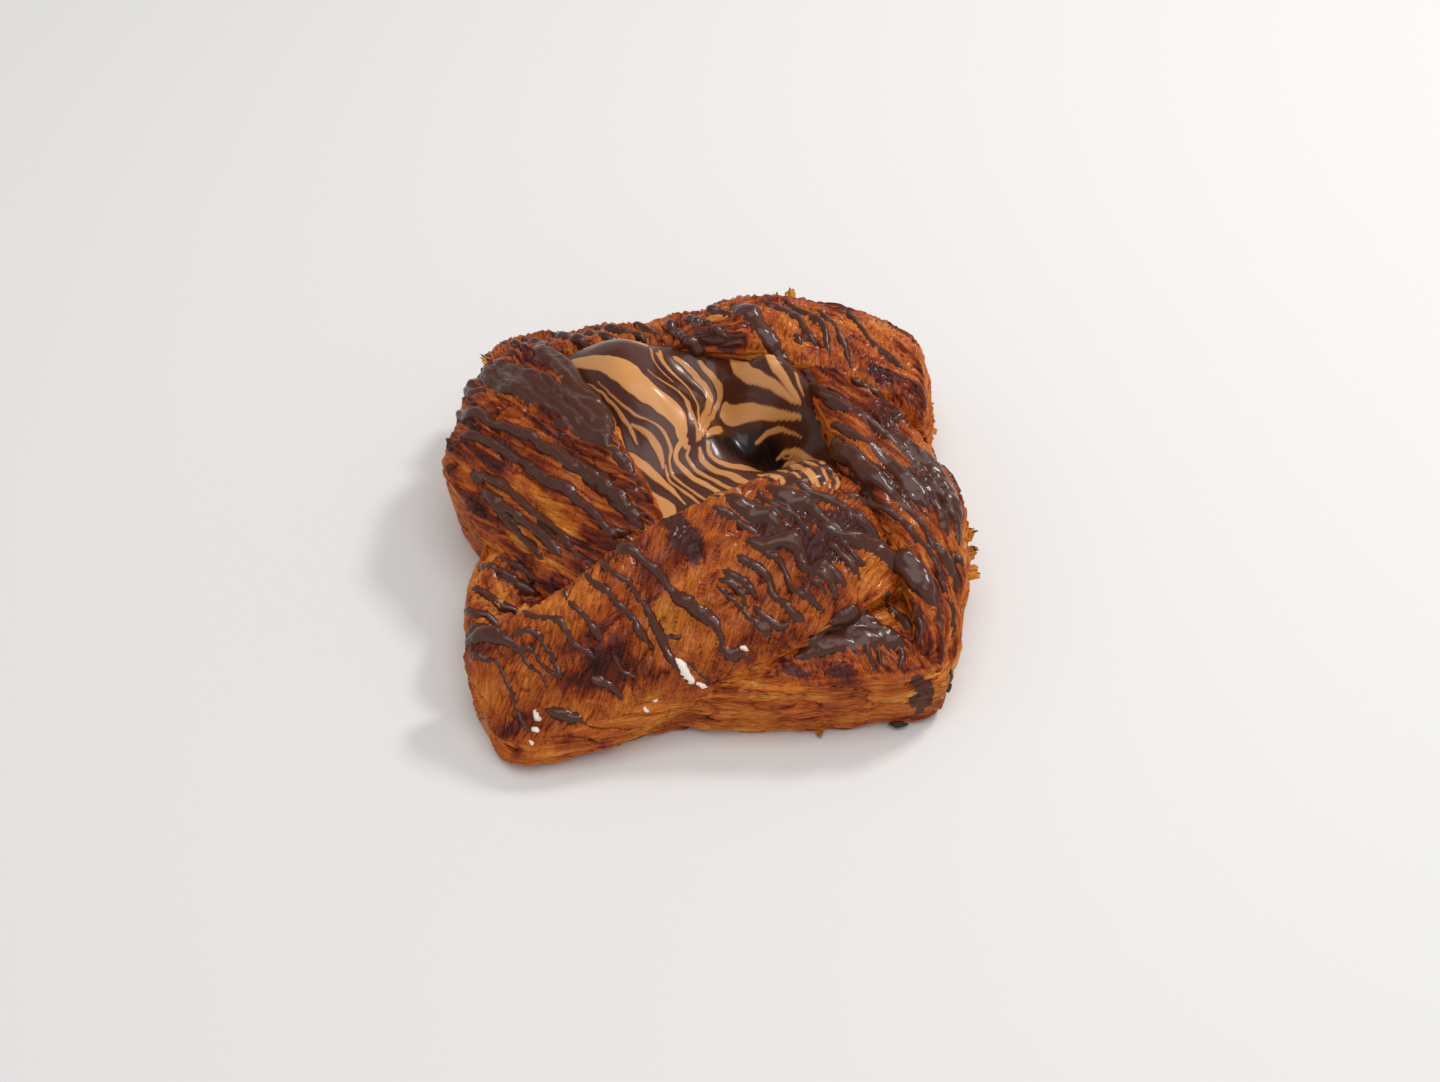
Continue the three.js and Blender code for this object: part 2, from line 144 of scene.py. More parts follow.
# A smooth-shaded mesh object from points in the drawing. What is shown is a value or a place for
# each point, which the material reads by its name.
def makeMesh(name, material, points, quads, triangles=None, shown=None):
    mesh = bpy.data.meshes.new(name)
    triangles = np.zeros((0, 3), int) if triangles is None else triangles
    corners = np.concatenate([quads.ravel(), triangles.ravel()])
    sizes = np.concatenate([np.full(len(quads), 4), np.full(len(triangles), 3)])
    starts = np.concatenate([[0], np.cumsum(sizes)[:-1]])
    mesh.vertices.add(len(points))
    mesh.vertices.foreach_set("co", ((points - drawingMiddle) * mm).astype(np.float32).ravel())
    mesh.loops.add(len(corners))
    mesh.loops.foreach_set("vertex_index", corners.astype(np.int32))
    mesh.polygons.add(len(sizes))
    mesh.polygons.foreach_set("loop_start", starts.astype(np.int32))
    mesh.polygons.foreach_set("loop_total", sizes.astype(np.int32))
    mesh.update(calc_edges=True)
    mesh.validate()
    mesh.polygons.foreach_set("use_smooth", np.ones(len(mesh.polygons), bool))
    for key, values in (shown or {}).items():
        isPlace = values.ndim == 2
        layer = mesh.attributes.new(key, "FLOAT_VECTOR" if isPlace else "FLOAT", "POINT")
        field = "vector" if isPlace else "value"
        layer.data.foreach_set(field, values.astype(np.float32).ravel())
    mesh.materials.append(material)
    piece = bpy.data.objects.new(name, mesh)
    bpy.context.scene.collection.objects.link(piece)
    return piece


# A grid of rings with each end closed to a hub, as points, quads, triangles and what is shown.
def closeWithHub(grid, shown):
    rows, columns = grid.shape[:2]
    hubs = [grid[0].mean(axis=0), grid[-1].mean(axis=0)]
    points = np.vstack([grid.reshape(-1, 3), hubs])
    closed = {}
    for key, values in shown.items():
        flat = values.reshape(rows * columns, -1) if values.ndim == 3 else values.ravel()
        ends = [values[0].mean(axis=0), values[-1].mean(axis=0)]
        closed[key] = np.concatenate([flat, np.array(ends)])
    column = np.arange(columns)
    beside = (column + 1) % columns
    last = (rows - 1) * columns
    first = np.stack([np.full(columns, rows * columns), beside, column], axis=1)
    final = np.stack([np.full(columns, rows * columns + 1), last + column, last + beside], axis=1)
    return points, gridFaces(rows, columns), np.vstack([first, final]), closed


# Several closed bodies as one piece.
def joinBodies(name, material, bodies, shown=None):
    starts = np.cumsum([0] + [len(points) for points, _, _ in bodies])
    points = np.vstack([points for points, _, _ in bodies])
    quads = np.vstack([quads + start for (_, quads, _), start in zip(bodies, starts)])
    triangles = np.vstack([triangles + start for (_, _, triangles), start in zip(bodies, starts)])
    return makeMesh(name, material, points, quads, triangles, shown)


# The dough: one block under five straps

block = {
    # x, y and top height round the edge, from the front left
    "edge": [
        (-47, -46, 10), (-30, -50, 9), (-12, -52, 13), (8, -54, 17), (30, -52.5, 19), (44, -50, 18),
        (48, -47, 17), (49.5, -30, 17), (49, -8, 16), (46, 12, 15), (48, 34, 13), (42, 45, 13),
        (10, 49, 18), (-30, 46, 17), (-49, 42.5, 17), (-51, 22, 16), (-49.5, -8, 15), (-52.5, -28, 16),
    ],
    # inset from the edge and share of the top height, from the ground up
    "rings": [
        (2.2, 0), (0.5, 0.16), (0, 0.42), (0.2, 0.7), (1.2, 0.88), (3.2, 0.985), (8, 1.08), (17, 1.16),
    ],
    "middle": [(22, 1.05), (28, 0.7), (36, 0.66)],  # the same on its way in under the filling
    "grid": (760, 84),  # columns and rows of the mesh
    "coatGrid": (1150, 120),  # and of the finer grid that the chocolate lies on
}

# Inner edge, outer edge and crown of each strap, from its free tip to its tucked end.
straps = {
    "front": [
        ((-49.5, -47, 9), (-43, -60, 2.5), 3), ((-50.5, -41, 15), (-37, -62, 2), 5),
        ((-43, -40.5, 21), (-27, -60, 2.5), 6.5), ((-33, -38, 26), (-16, -56.5, 5), 6.5),
        ((-20, -29, 30), (-5, -53, 10.5), 5.5), ((-5, -19, 32), (9, -49.5, 17), 5.3),
        ((10, -10.5, 32), (21, -45, 21.2), 5.2), ((22, -7.5, 31.5), (30, -39.5, 23.5), 4.6),
        ((30, -9, 29), (37, -33.5, 22), 4.2), ((37, -11, 24), (43, -29, 15), 3),
    ],
    "right": [
        ((40, -49, 14), (47, -48, 3), 3), ((41, -44, 20), (48.5, -43, 6), 4.5),
        ((40, -34, 25), (50.5, -31, 10), 5.5), ((36, -23, 28), (53.5, -17, 15), 6),
        ((29, -9, 30), (53, -5, 19), 6), ((26, 4, 30.5), (48, 5, 21.5), 5.5),
        ((23, 16, 30), (42, 15, 22.5), 5), ((18, 28, 27), (34, 26, 22), 4),
    ],
    "tail": [
        ((20, 31, 26), (20, 52, 22), 5), ((6, 33, 29), (5, 53, 23), 6.2),
        ((-4, 34.5, 28.5), (-5, 50, 21), 5.6), ((-12, 35.5, 27.5), (-14, 49.5, 19), 4.6),
        ((-24, 35.5, 26.5), (-26, 48.5, 19), 4.6), ((-36, 33, 25), (-39, 47, 19), 4.5),
        ((-44, 32.5, 23), (-48, 46.5, 18), 4.3),
        ((-51, 33, 18), (-53.5, 45, 15), 4),
    ],
    "back": [
        ((50.5, 19, 10), (51.5, 42, 11), 3), ((46.5, 18, 19), (48, 48.5, 16.5), 6),
        ((34, 22, 24), (38, 52, 19.5), 7.5), ((20, 27.5, 28), (23, 54.5, 21), 7.5),
        ((8, 30.5, 30.5), (12, 54, 24), 6.5), ((-4, 31.5, 31), (4, 50, 27), 4.5),
        ((-10, 32, 29), (-4, 45, 26), 3),
    ],
    "left": [
        ((-42, 40, 20), (-52, 36, 17), 4), ((-37, 35.5, 27), (-53.5, 28, 21), 6),
        ((-31, 26, 30), (-56, 17.5, 20), 6.5), ((-23, 12, 31), (-58.5, 6, 18.5), 7),
        ((-17, -1, 29.5), (-52, -7, 15.5), 7), ((-11, -14, 27), (-40, -22, 15.5), 6),
        ((-6, -27, 21), (-26, -37, 14), 4),
    ],
}

strapForm = {
    "squareness": 2.5,
    "undercut": 2.5,
    "clear": 0.02,  # lowest that a strap lies over the ground
    "ribs": 3,
    "ribHeight": 0.45,
    "lumpHeight": 0.6,
    "lumpWaves": (9, 5, 3),
    "wayPoints": 60,  # points that a strap's length is measured with
    "arcPoints": 161,  # points over the top of a section
    "wallPoints": 41,  # and down each of its walls
    "hidden": (-0.7, 10),  # mark up to which the inner wall is out of sight, and its columns there
    "grain": 0.34,  # size of a mesh face
    "endRound": 1.6,
    "endShare": 0.62,  # how wide the very end of a strap stays
}


# How high a strap stands over the line between its edges, with its ribs and lumps.
def strapBulge(crown, share, places, phase):
    power = strapForm["squareness"]
    rise = (1 - np.abs(2 * share - 1) ** power) ** (1 / power)
    u = places[:, None]
    along, over, aslant = strapForm["lumpWaves"]
    ribWave = 2 * math.pi * strapForm["ribs"] * share + np.sin(aslant * u + phase)
    rib = strapForm["ribHeight"] * np.sin(ribWave)
    lump = strapForm["lumpHeight"] * np.sin(along * u + phase) * np.sin(over * share + aslant * u)
    return (crown[:, None] + rib + lump) * rise


# Sections over a strap, each a line from foot to foot, and the strap's middle. The mark of a point
# is -1 at the inner foot, 0 at the inner edge, 1 at the outer edge and 2 at the outer foot.
def strapSections(stations, places):
    inner = curveThrough([s[0] for s in stations], places)
    outer = curveThrough([s[1] for s in stations], places)
    crown = curveThrough([(s[2], 0, 0) for s in stations], places)[:, 0]
    across = outer - inner
    across /= np.linalg.norm(across, axis=1, keepdims=True)
    lift = np.array([0, 0, 1.0]) - across * across[:, 2:]
    lift /= np.linalg.norm(lift, axis=1, keepdims=True)
    share = (1 - np.cos(np.linspace(0, math.pi, strapForm["arcPoints"]))) / 2
    height = strapBulge(crown, share, places, len(stations))
    arc = inner[:, None] * (1 - share[:, None]) + outer[:, None] * share[:, None]
    arc = arc + lift[:, None] * height[..., None]
    inward = across * [1, 1, 0]
    inward *= strapForm["undercut"] / np.linalg.norm(inward, axis=1, keepdims=True)
    footInner = (inner + inward) * [1, 1, 0]
    footOuter = (outer - inward) * [1, 1, 0]
    down = np.linspace(0, 1, strapForm["wallPoints"])[:, None]
    wallIn = footInner[:, None] * (1 - down) + inner[:, None] * down
    wallOut = outer[:, None] * (1 - down) + footOuter[:, None] * down
    line = np.concatenate([wallIn[:, :-1], arc, wallOut[:, 1:]], axis=1)
    mark = np.concatenate([down[:-1, 0] - 1, share, 1 + down[1:, 0]])
    return line, mark, (inner + outer) / 2


# A strap in rings from its tip to its end, with where each point lies along it and over it.
def strapRings(name, grain):
    stations = straps[name]
    middles = [(np.array(s[0]) + np.array(s[1])) / 2 for s in stations]
    length = runAlong(curveThrough(middles, np.linspace(0, 1, strapForm["wayPoints"])))[-1]
    rows = int(length / grain)
    line, mark, middle = strapSections(stations, np.linspace(0, 1, rows))
    run = runAlong(line, 1)
    hiddenMark, hiddenColumns = strapForm["hidden"]
    hidden = np.searchsorted(mark, hiddenMark)
    seenColumns = int((run[:, -1] - run[:, hidden]).mean() / grain)
    rings = np.zeros((rows, hiddenColumns + seenColumns, 3))
    over = np.zeros(rings.shape[:2])
    for i in range(rows):
        seen = run[i, hidden]
        outOfSight = np.linspace(0, seen, hiddenColumns + 1)[:-1]
        wanted = np.concatenate([outOfSight, np.linspace(seen, run[i, -1], seenColumns)])
        for axis in range(3):
            rings[i, :, axis] = np.interp(wanted, run[i], line[i, :, axis])
        over[i] = wanted - np.interp(0.5, mark, run[i])  # counted from the middle of the top
    return rings, np.broadcast_to(runAlong(middle)[:, None], over.shape), over


# A strap's rings drawn in at both of its ends, so that they are round.
def roundEnds(rings):
    reach = strapForm["endRound"]
    step = strapForm["grain"]
    least = strapForm["endShare"]
    rows = len(rings)
    middle = rings.mean(axis=1, keepdims=True)
    for i in range(int(reach / step) + 1):
        keep = least + (1 - least) * math.sqrt(max(0, 1 - (1 - i * step / reach) ** 2))
        for row in (i, rows - 1 - i):
            rings[row] = middle[row] + (rings[row] - middle[row]) * keep
    return rings


# The block in rings from the ground to its middle, with where each point lies round it and up it.
def blockRings(columns, rows):
    edge = curveThrough(block["edge"], np.arange(columns) / columns, closed=True)
    edge = edge - drawingMiddle
    profile = curveThrough([(a, b, 0) for a, b in block["rings"]], np.linspace(0, 1, rows))
    insets, shares = np.vstack([profile[:, :2], block["middle"]]).T
    reach = np.linalg.norm(edge[:, :2], axis=1)
    kept = (reach[None] - insets[:, None]) / reach[None]
    rings = np.zeros((len(insets), columns, 3))
    rings[..., :2] = edge[None, :, :2] * kept[..., None]
    rings[..., 2] = edge[None, :, 2] * np.maximum(shares, 0)[:, None]
    rings += drawingMiddle
    up = runAlong(rings)
    return rings, np.broadcast_to(runAlong(edge)[None], up.shape), up


# The baked surface: folds on the straps, layers on the walls, and how brown each place is, with painted
# shade in its hollows

relief = {
    "lumps": (0.85, 9.0, 6.5),  # height, and size along and over
    "dimples": (0.3, 3.8, 2.8),
    "ridges": (1.3, 1.35, 7.0),  # height, spacing and length of the fine ridges that the folds leave
    "ridgeTop": (0.4, 0.18),  # where a ridge is cut off, and its middle height
    "hairs": (0.2, 0.62, 4.0),  # the finest ridges
    "ropes": (2.0, 3.2, 26.0),  # thicker ridges where the folds run along a strap
    "ropeTop": (0.4, 0.15),
    "creases": (0.55, 3.2, 9.0, 0.09),  # depth, spacing, length and width
    "creaseShares": (0.3, 0.7),  # how much of each crease there is everywhere, and in patches only
    "sheets": (0.4, 12.0, 9.0, 2.2),  # height, size along and over, and how many edges
    "sheetEdge": (0.2, 2.4, 7, 0.4),  # how ragged, how fine, how steep, and middle height
    # how far folds wander from their way, its size along the piece for folds that run over it and
    # for folds that run along it, and its size over the piece for both
    "sway": (0.9, 7.0, 9.0, 6.0),
    "turning": (0.7, 16.0, 12.0),  # how much the way of the folds varies, and its size
    "crossing": (0.3, 0.7),  # share up to which folds run along, and from which they run over
    "layers": (0.95, 1.7, 34.0),  # height, spacing and length of the layers on the walls
    "layerWander": (1.1, 2.6),  # how many layers they wander by, and the height that it takes
    "layerEdge": (4, 0.4),  # how steep, and middle height
    "splits": (0.9, 3.4, 16.0, 0.08),  # depth, spacing, length and width
    "threads": (0.2, 12.0, 0.7),  # height, length and spacing of fine lines on the walls
    "levels": [(1.3, 22.0, 10.0), (0.12, 4.0, 2.0)],  # rise of the layers, its size along and up
    "patches": 10.0,  # size of the patches in which the creases are deeper
    "patchEdge": (-0.3, 0.3),
    "wallSlope": (0.25, 0.6),  # upward part of the normal on a wall, and where the top is whole
    "underCoat": 0.6,  # share of the ropes that also shapes the chocolate on them
}

# How brown the dough is, with painted shade in the valleys, creases and splits of its relief
browningAndShade = {
    "middle": 0.5,
    "clouds": (0.27, 17.0, 12.0),  # how much, and size along and over
    "spots": (0.13, 5.0, 3.6),
    "lumps": 0.14,  # more on what stands up
    # painted shade: darker between the ridges, and in the creases
    "valleys": (0.2, 0.13),  # how much between the ridges, and how far up them
    "creases": 0.24,
    "ropes": 1.1,
    "layerEdges": (0.17, 0.72),  # how much, and from which share of a layer
    # painted shade in the splits between the layers
    "splits": 0.2,
    "streaks": (0.2, 20.0, 2.4),
    "walls": -0.17,
}

# Each noise of the surface has a seed of its own, and a fold also takes the next one.
reliefSeeds = {
    "lumps": 1, "dimples": 2, "swayAlong": 3, "swayOver": 4, "ridges": 5, "creases": 7, "patches": 9,
    "broadLevels": 10, "layers": 11, "splits": 12, "threads": 13, "clouds": 14, "spots": 15,
    "turning": 17, "sheets": 18, "sheetEdge": 19, "fineLevels": 20, "ropes": 21, "streaks": 22,
    "hairs": 23,
}

# A seed for each dough piece, how far its folds run across it, and how much they lie aslant.
foldWays = {
    "front": (100, 0.95, 1.0),
    "right": (200, 0.05, 0.42),
    "tail": (300, 0.95, 0.0),
    "back": (400, 0.6, 0.0),
    "left": (500, 0.0, 0.52),
    "block": (600, 0.6, 0.0),
}


# Where each place lies along and over a strap whose folds run aslant.
def aslantPlaces(along, over, across, slant):
    if across > 0.5:
        return along + slant * over, over
    return along, over + slant * along


# A sawtooth that climbs slowly over each count and falls back steeply.
def overlaps(count, steepness, middle):
    part = count - np.floor(count)
    return np.minimum(part, (1 - part) * steepness) - middle, part


# Noise of one dough piece, by the names that its seeds and sizes have.
def noiseOf(seed, along, over):
    def field(key, a, b, step=0):
        return softNoise(a, b, seed + reliefSeeds[key] + step)

    def plain(key, sizes):
        tall, longer, wider = sizes[key]
        return tall * field(key, along / longer, over / wider)

    return field, plain


# Relief on top of a piece, how brown it makes it with painted shade in its valleys and creases, the plain
# height of its ropes, and how far its folds run across it at each place: 1 is over it and 0 is along it.
def topFolds(field, along, over, across, slant):
    turned = 1 / math.hypot(1, slant)
    foldAlong, foldOver = aslantPlaces(along, over, across, slant)
    sway, swayAlong, swayOver, swaySide = relief["sway"]
    wavyAlong = foldAlong * turned + sway * field("swayAlong", along / swayAlong, over / swaySide)
    wavyOver = foldOver * turned + sway * field("swayOver", along / swayOver, over / swaySide)
    turning, turnAlong, turnOver = relief["turning"]
    crossed = across + turning * field("turning", along / turnAlong, over / turnOver)
    crossed = smoothStep(crossed, *relief["crossing"])

    def folded(key):
        spacing, length = relief[key][1:3]
        first = field(key, wavyAlong / spacing, over / length)
        second = field(key, along / length, wavyOver / spacing, 1)
        return first * crossed + second * (1 - crossed)

    size = relief["patches"]
    patch = smoothStep(field("patches", along / size, over / size), *relief["patchEdge"])
    ridgeMost, ridgeMiddle = relief["ridgeTop"]
    ridge = np.minimum(np.abs(folded("ridges")), ridgeMost)
    everywhere, inPatches = relief["creaseShares"]
    crease = 1 - smoothStep(np.abs(folded("creases")), 0, relief["creases"][3])
    crease = crease * (everywhere + inPatches * patch)
    ropeTall, ropeApart, ropeLength = relief["ropes"]
    ropeMost, ropeMiddle = relief["ropeTop"]
    rope = np.minimum(np.abs(field("ropes", along / ropeLength, wavyOver / ropeApart)), ropeMost)
    rope = rope * (1 - crossed)
    level = rope - ropeMiddle * (1 - crossed)
    sheetTall, sheetAlong, sheetOver, edges = relief["sheets"]
    ragged, fine, steepness, sheetMiddle = relief["sheetEdge"]
    count = edges * field("sheets", along / sheetAlong, over / sheetOver)
    count = count + ragged * field("sheetEdge", along / fine, over / fine)
    sheet, _ = overlaps(count, steepness, sheetMiddle)
    top = relief["ridges"][0] * (ridge - ridgeMiddle) + ropeTall * level
    top = top + relief["hairs"][0] * folded("hairs")
    top = top + sheetTall * sheet - relief["creases"][0] * crease

    # painted shade: darker in the valleys between the ridges and in the creases
    valleys, reach = browningAndShade["valleys"]
    brownAndShade = valleys * (1 - smoothStep(ridge, 0, reach)) + browningAndShade["creases"] * crease
    brownAndShade = brownAndShade + browningAndShade["ropes"] * level
    return top, brownAndShade, ropeTall * (rope - ropeMiddle), crossed


# Relief on the walls, where the layers show, and how brown it makes them, with painted shade in the splits.
def wallLayers(field, along, height):
    level = height
    for key, (tall, longer, higher) in zip(("broadLevels", "fineLevels"), relief["levels"]):
        level = level + tall * field(key, along / longer, height / higher)
    tall, spacing, length = relief["layers"]
    wander, wanderSize = relief["layerWander"]
    count = level / spacing + wander * field("layers", along / length, level / wanderSize)
    lap, part = overlaps(count, *relief["layerEdge"])
    deep, gap, splitLength, width = relief["splits"]
    split = 1 - smoothStep(np.abs(field("splits", along / splitLength, level / gap)), 0, width)
    threadTall, threadLength, threadGap = relief["threads"]
    side = tall * lap - deep * split
    side = side + threadTall * field("threads", along / threadLength, level / threadGap)

    edges, start = browningAndShade["layerEdges"]
    streaks, streakLength, streakGap = browningAndShade["streaks"]
    # the splits are darkened as painted shade
    brownAndShade = edges * smoothStep(part, start, 1) + browningAndShade["splits"] * split
    brownAndShade = brownAndShade + streaks * field("streaks", along / streakLength, level / streakGap)
    return side, brownAndShade + browningAndShade["walls"]


# The baked surface of one piece: height of the base that the chocolate lies on, height of the dough itself,
# how brown each place is with its painted shade, and how far its folds run across it.
def bakedRelief(along, over, height, wall, seed, across, slant):
    field, plain = noiseOf(seed, along, over)
    broad = plain("lumps", relief) + plain("dimples", relief)
    top, topBrownAndShade, ropes, crossed = topFolds(field, along, over, across, slant)
    side, wallBrownAndShade = wallLayers(field, along, height)
    base = broad + relief["underCoat"] * ropes * (1 - wall)
    total = broad + top * (1 - wall) + side * wall
    brownAndShade = browningAndShade["middle"] + plain("clouds", browningAndShade) + plain("spots", browningAndShade)
    brownAndShade = brownAndShade + browningAndShade["lumps"] * broad
    return base, total, brownAndShade + topBrownAndShade * (1 - wall) + wallBrownAndShade * wall, crossed


# The surface of a grid of dough: its normals, plain base and relief, and what its material shows.
def doughSurface(rings, along, over, seed, across, slant):
    normal = gridNormals(rings)
    wall = 1 - smoothStep(normal[..., 2], *relief["wallSlope"])
    base, total, brownAndShade, fold = bakedRelief(along, over, rings[..., 2], wall, seed, across, slant)
    layer = np.dstack([*aslantPlaces(along, over, across, slant), rings[..., 2]])
    return normal, base, total, {"brownAndShade": brownAndShade, "fold": fold, "wall": wall, "layer": layer}


# Places that came out paler or darker than the rest, with painted shade along the front strap's lower edge,
# as x, y and width, seen from above.

tones = {
    "pale": (-0.26, [
        [(27, -38.6, 1.6), (30.5, -36.6, 2.4), (34.5, -34.4, 1.6)],
        [(-43, -3.5, 2.4), (-36, -10.5, 3), (-29, -18.5, 2.4)],
        [(-41, -17, 2), (-36, -23, 2.6), (-33, -26, 2)],
        [(-47, 3.4, 1.4), (-40, -3, 1.6)],
        [(17.5, 38.5, 2), (19, 35, 2.4), (20, 31, 2)],
        [(28, 33, 2), (29, 30, 1.6)],
        [(-40, 30, 1.4), (-38, 26, 2)],
        [(33, -36.4, 1.6), (38, -38.6, 1.4)],
        [(-17.4, -34, 1.6), (-15, -40, 2)],
    ]),
    "golden": (-0.11, [
        [(24, 45, 8), (34, 39, 12), (43, 31, 10)],
        [(-48, -20, 8), (-45, -32, 9)],
        [(-10, -47, 8), (4, -40, 9), (12, -38, 8)],
    ]),
    "dark": (0.24, [
        [(-28, -53.5, 4), (-21, -51, 6), (-14, -50, 4)],
        [(-40, -58.5, 4), (-30, -58.5, 4)],
        [(1, -24, 5), (8, -25.5, 6)],
        [(-9, -23, 5), (-4, -30, 5)],
        [(-48, 14, 4), (-40, 10, 5), (-33, 4, 4)],
        [(-2, 34, 5), (6, 31, 5)],
        [(40.6, 12, 4), (42, 15, 3)],
        [(22, -31, 7), (30, -23, 7)],
        [(-42, 27, 3), (-37, 25, 3)],
        [(44, -24, 3), (47, -30, 3)],
        [(36, 27, 3), (45, 21, 4)],
        # painted shade where the front strap's lower edge lies over the block
        [(-3, -53.8, 1), (9, -50.8, 1.2), (21, -46.2, 1.4), (31, -40.4, 1.2), (38, -33.6, 1.4)],
    ]),
}

toneEdge = {
    "ragged": [(1.4, 2.6, 74), (0.7, 0.9, 75)],
    "softness": 1.3,
    "covered": (-4, -1.5),  # from 4 mm under the visible top, which takes none, to 1.5 mm, all
}


# How far each place lies outside a stroke of x, y and width: less than nothing within it.
def gapTo(x, y, stroke, pad=2.0):
    line = smoothStroke(stroke)
    reach = line[:, 2].max() / 2 + pad
    low = line.min(axis=0) - reach
    high = line.max(axis=0) + reach
    near = (x > low[0]) & (x < high[0]) & (y > low[1]) & (y < high[1])
    gap = np.full(x.shape, pad)
    nearX, nearY, nearGap = x[near], y[near], gap[near]
    for lineX, lineY, width in line:
        nearGap = np.minimum(nearGap, np.hypot(nearX - lineX, nearY - lineY) - width / 2)
    gap[near] = nearGap
    return gap


# How much browner each point is for its place, painted shade included, and less so where it lies far under
# the ceiling.
def toneOf(points, ceiling):
    x, y, z = points[..., 0], points[..., 1], points[..., 2]
    total = np.zeros(x.shape)
    ragged = layeredNoise(x, y, toneEdge["ragged"])
    soft = toneEdge["softness"]
    for amount, strokes in tones.values():
        for stroke in strokes:
            total = total + amount * smoothStep(ragged - gapTo(x, y, stroke), -soft, soft)
    return total * smoothStep(z - ceiling, *toneEdge["covered"])


# Chocolate lines seen from above, each as places with x, y and width.

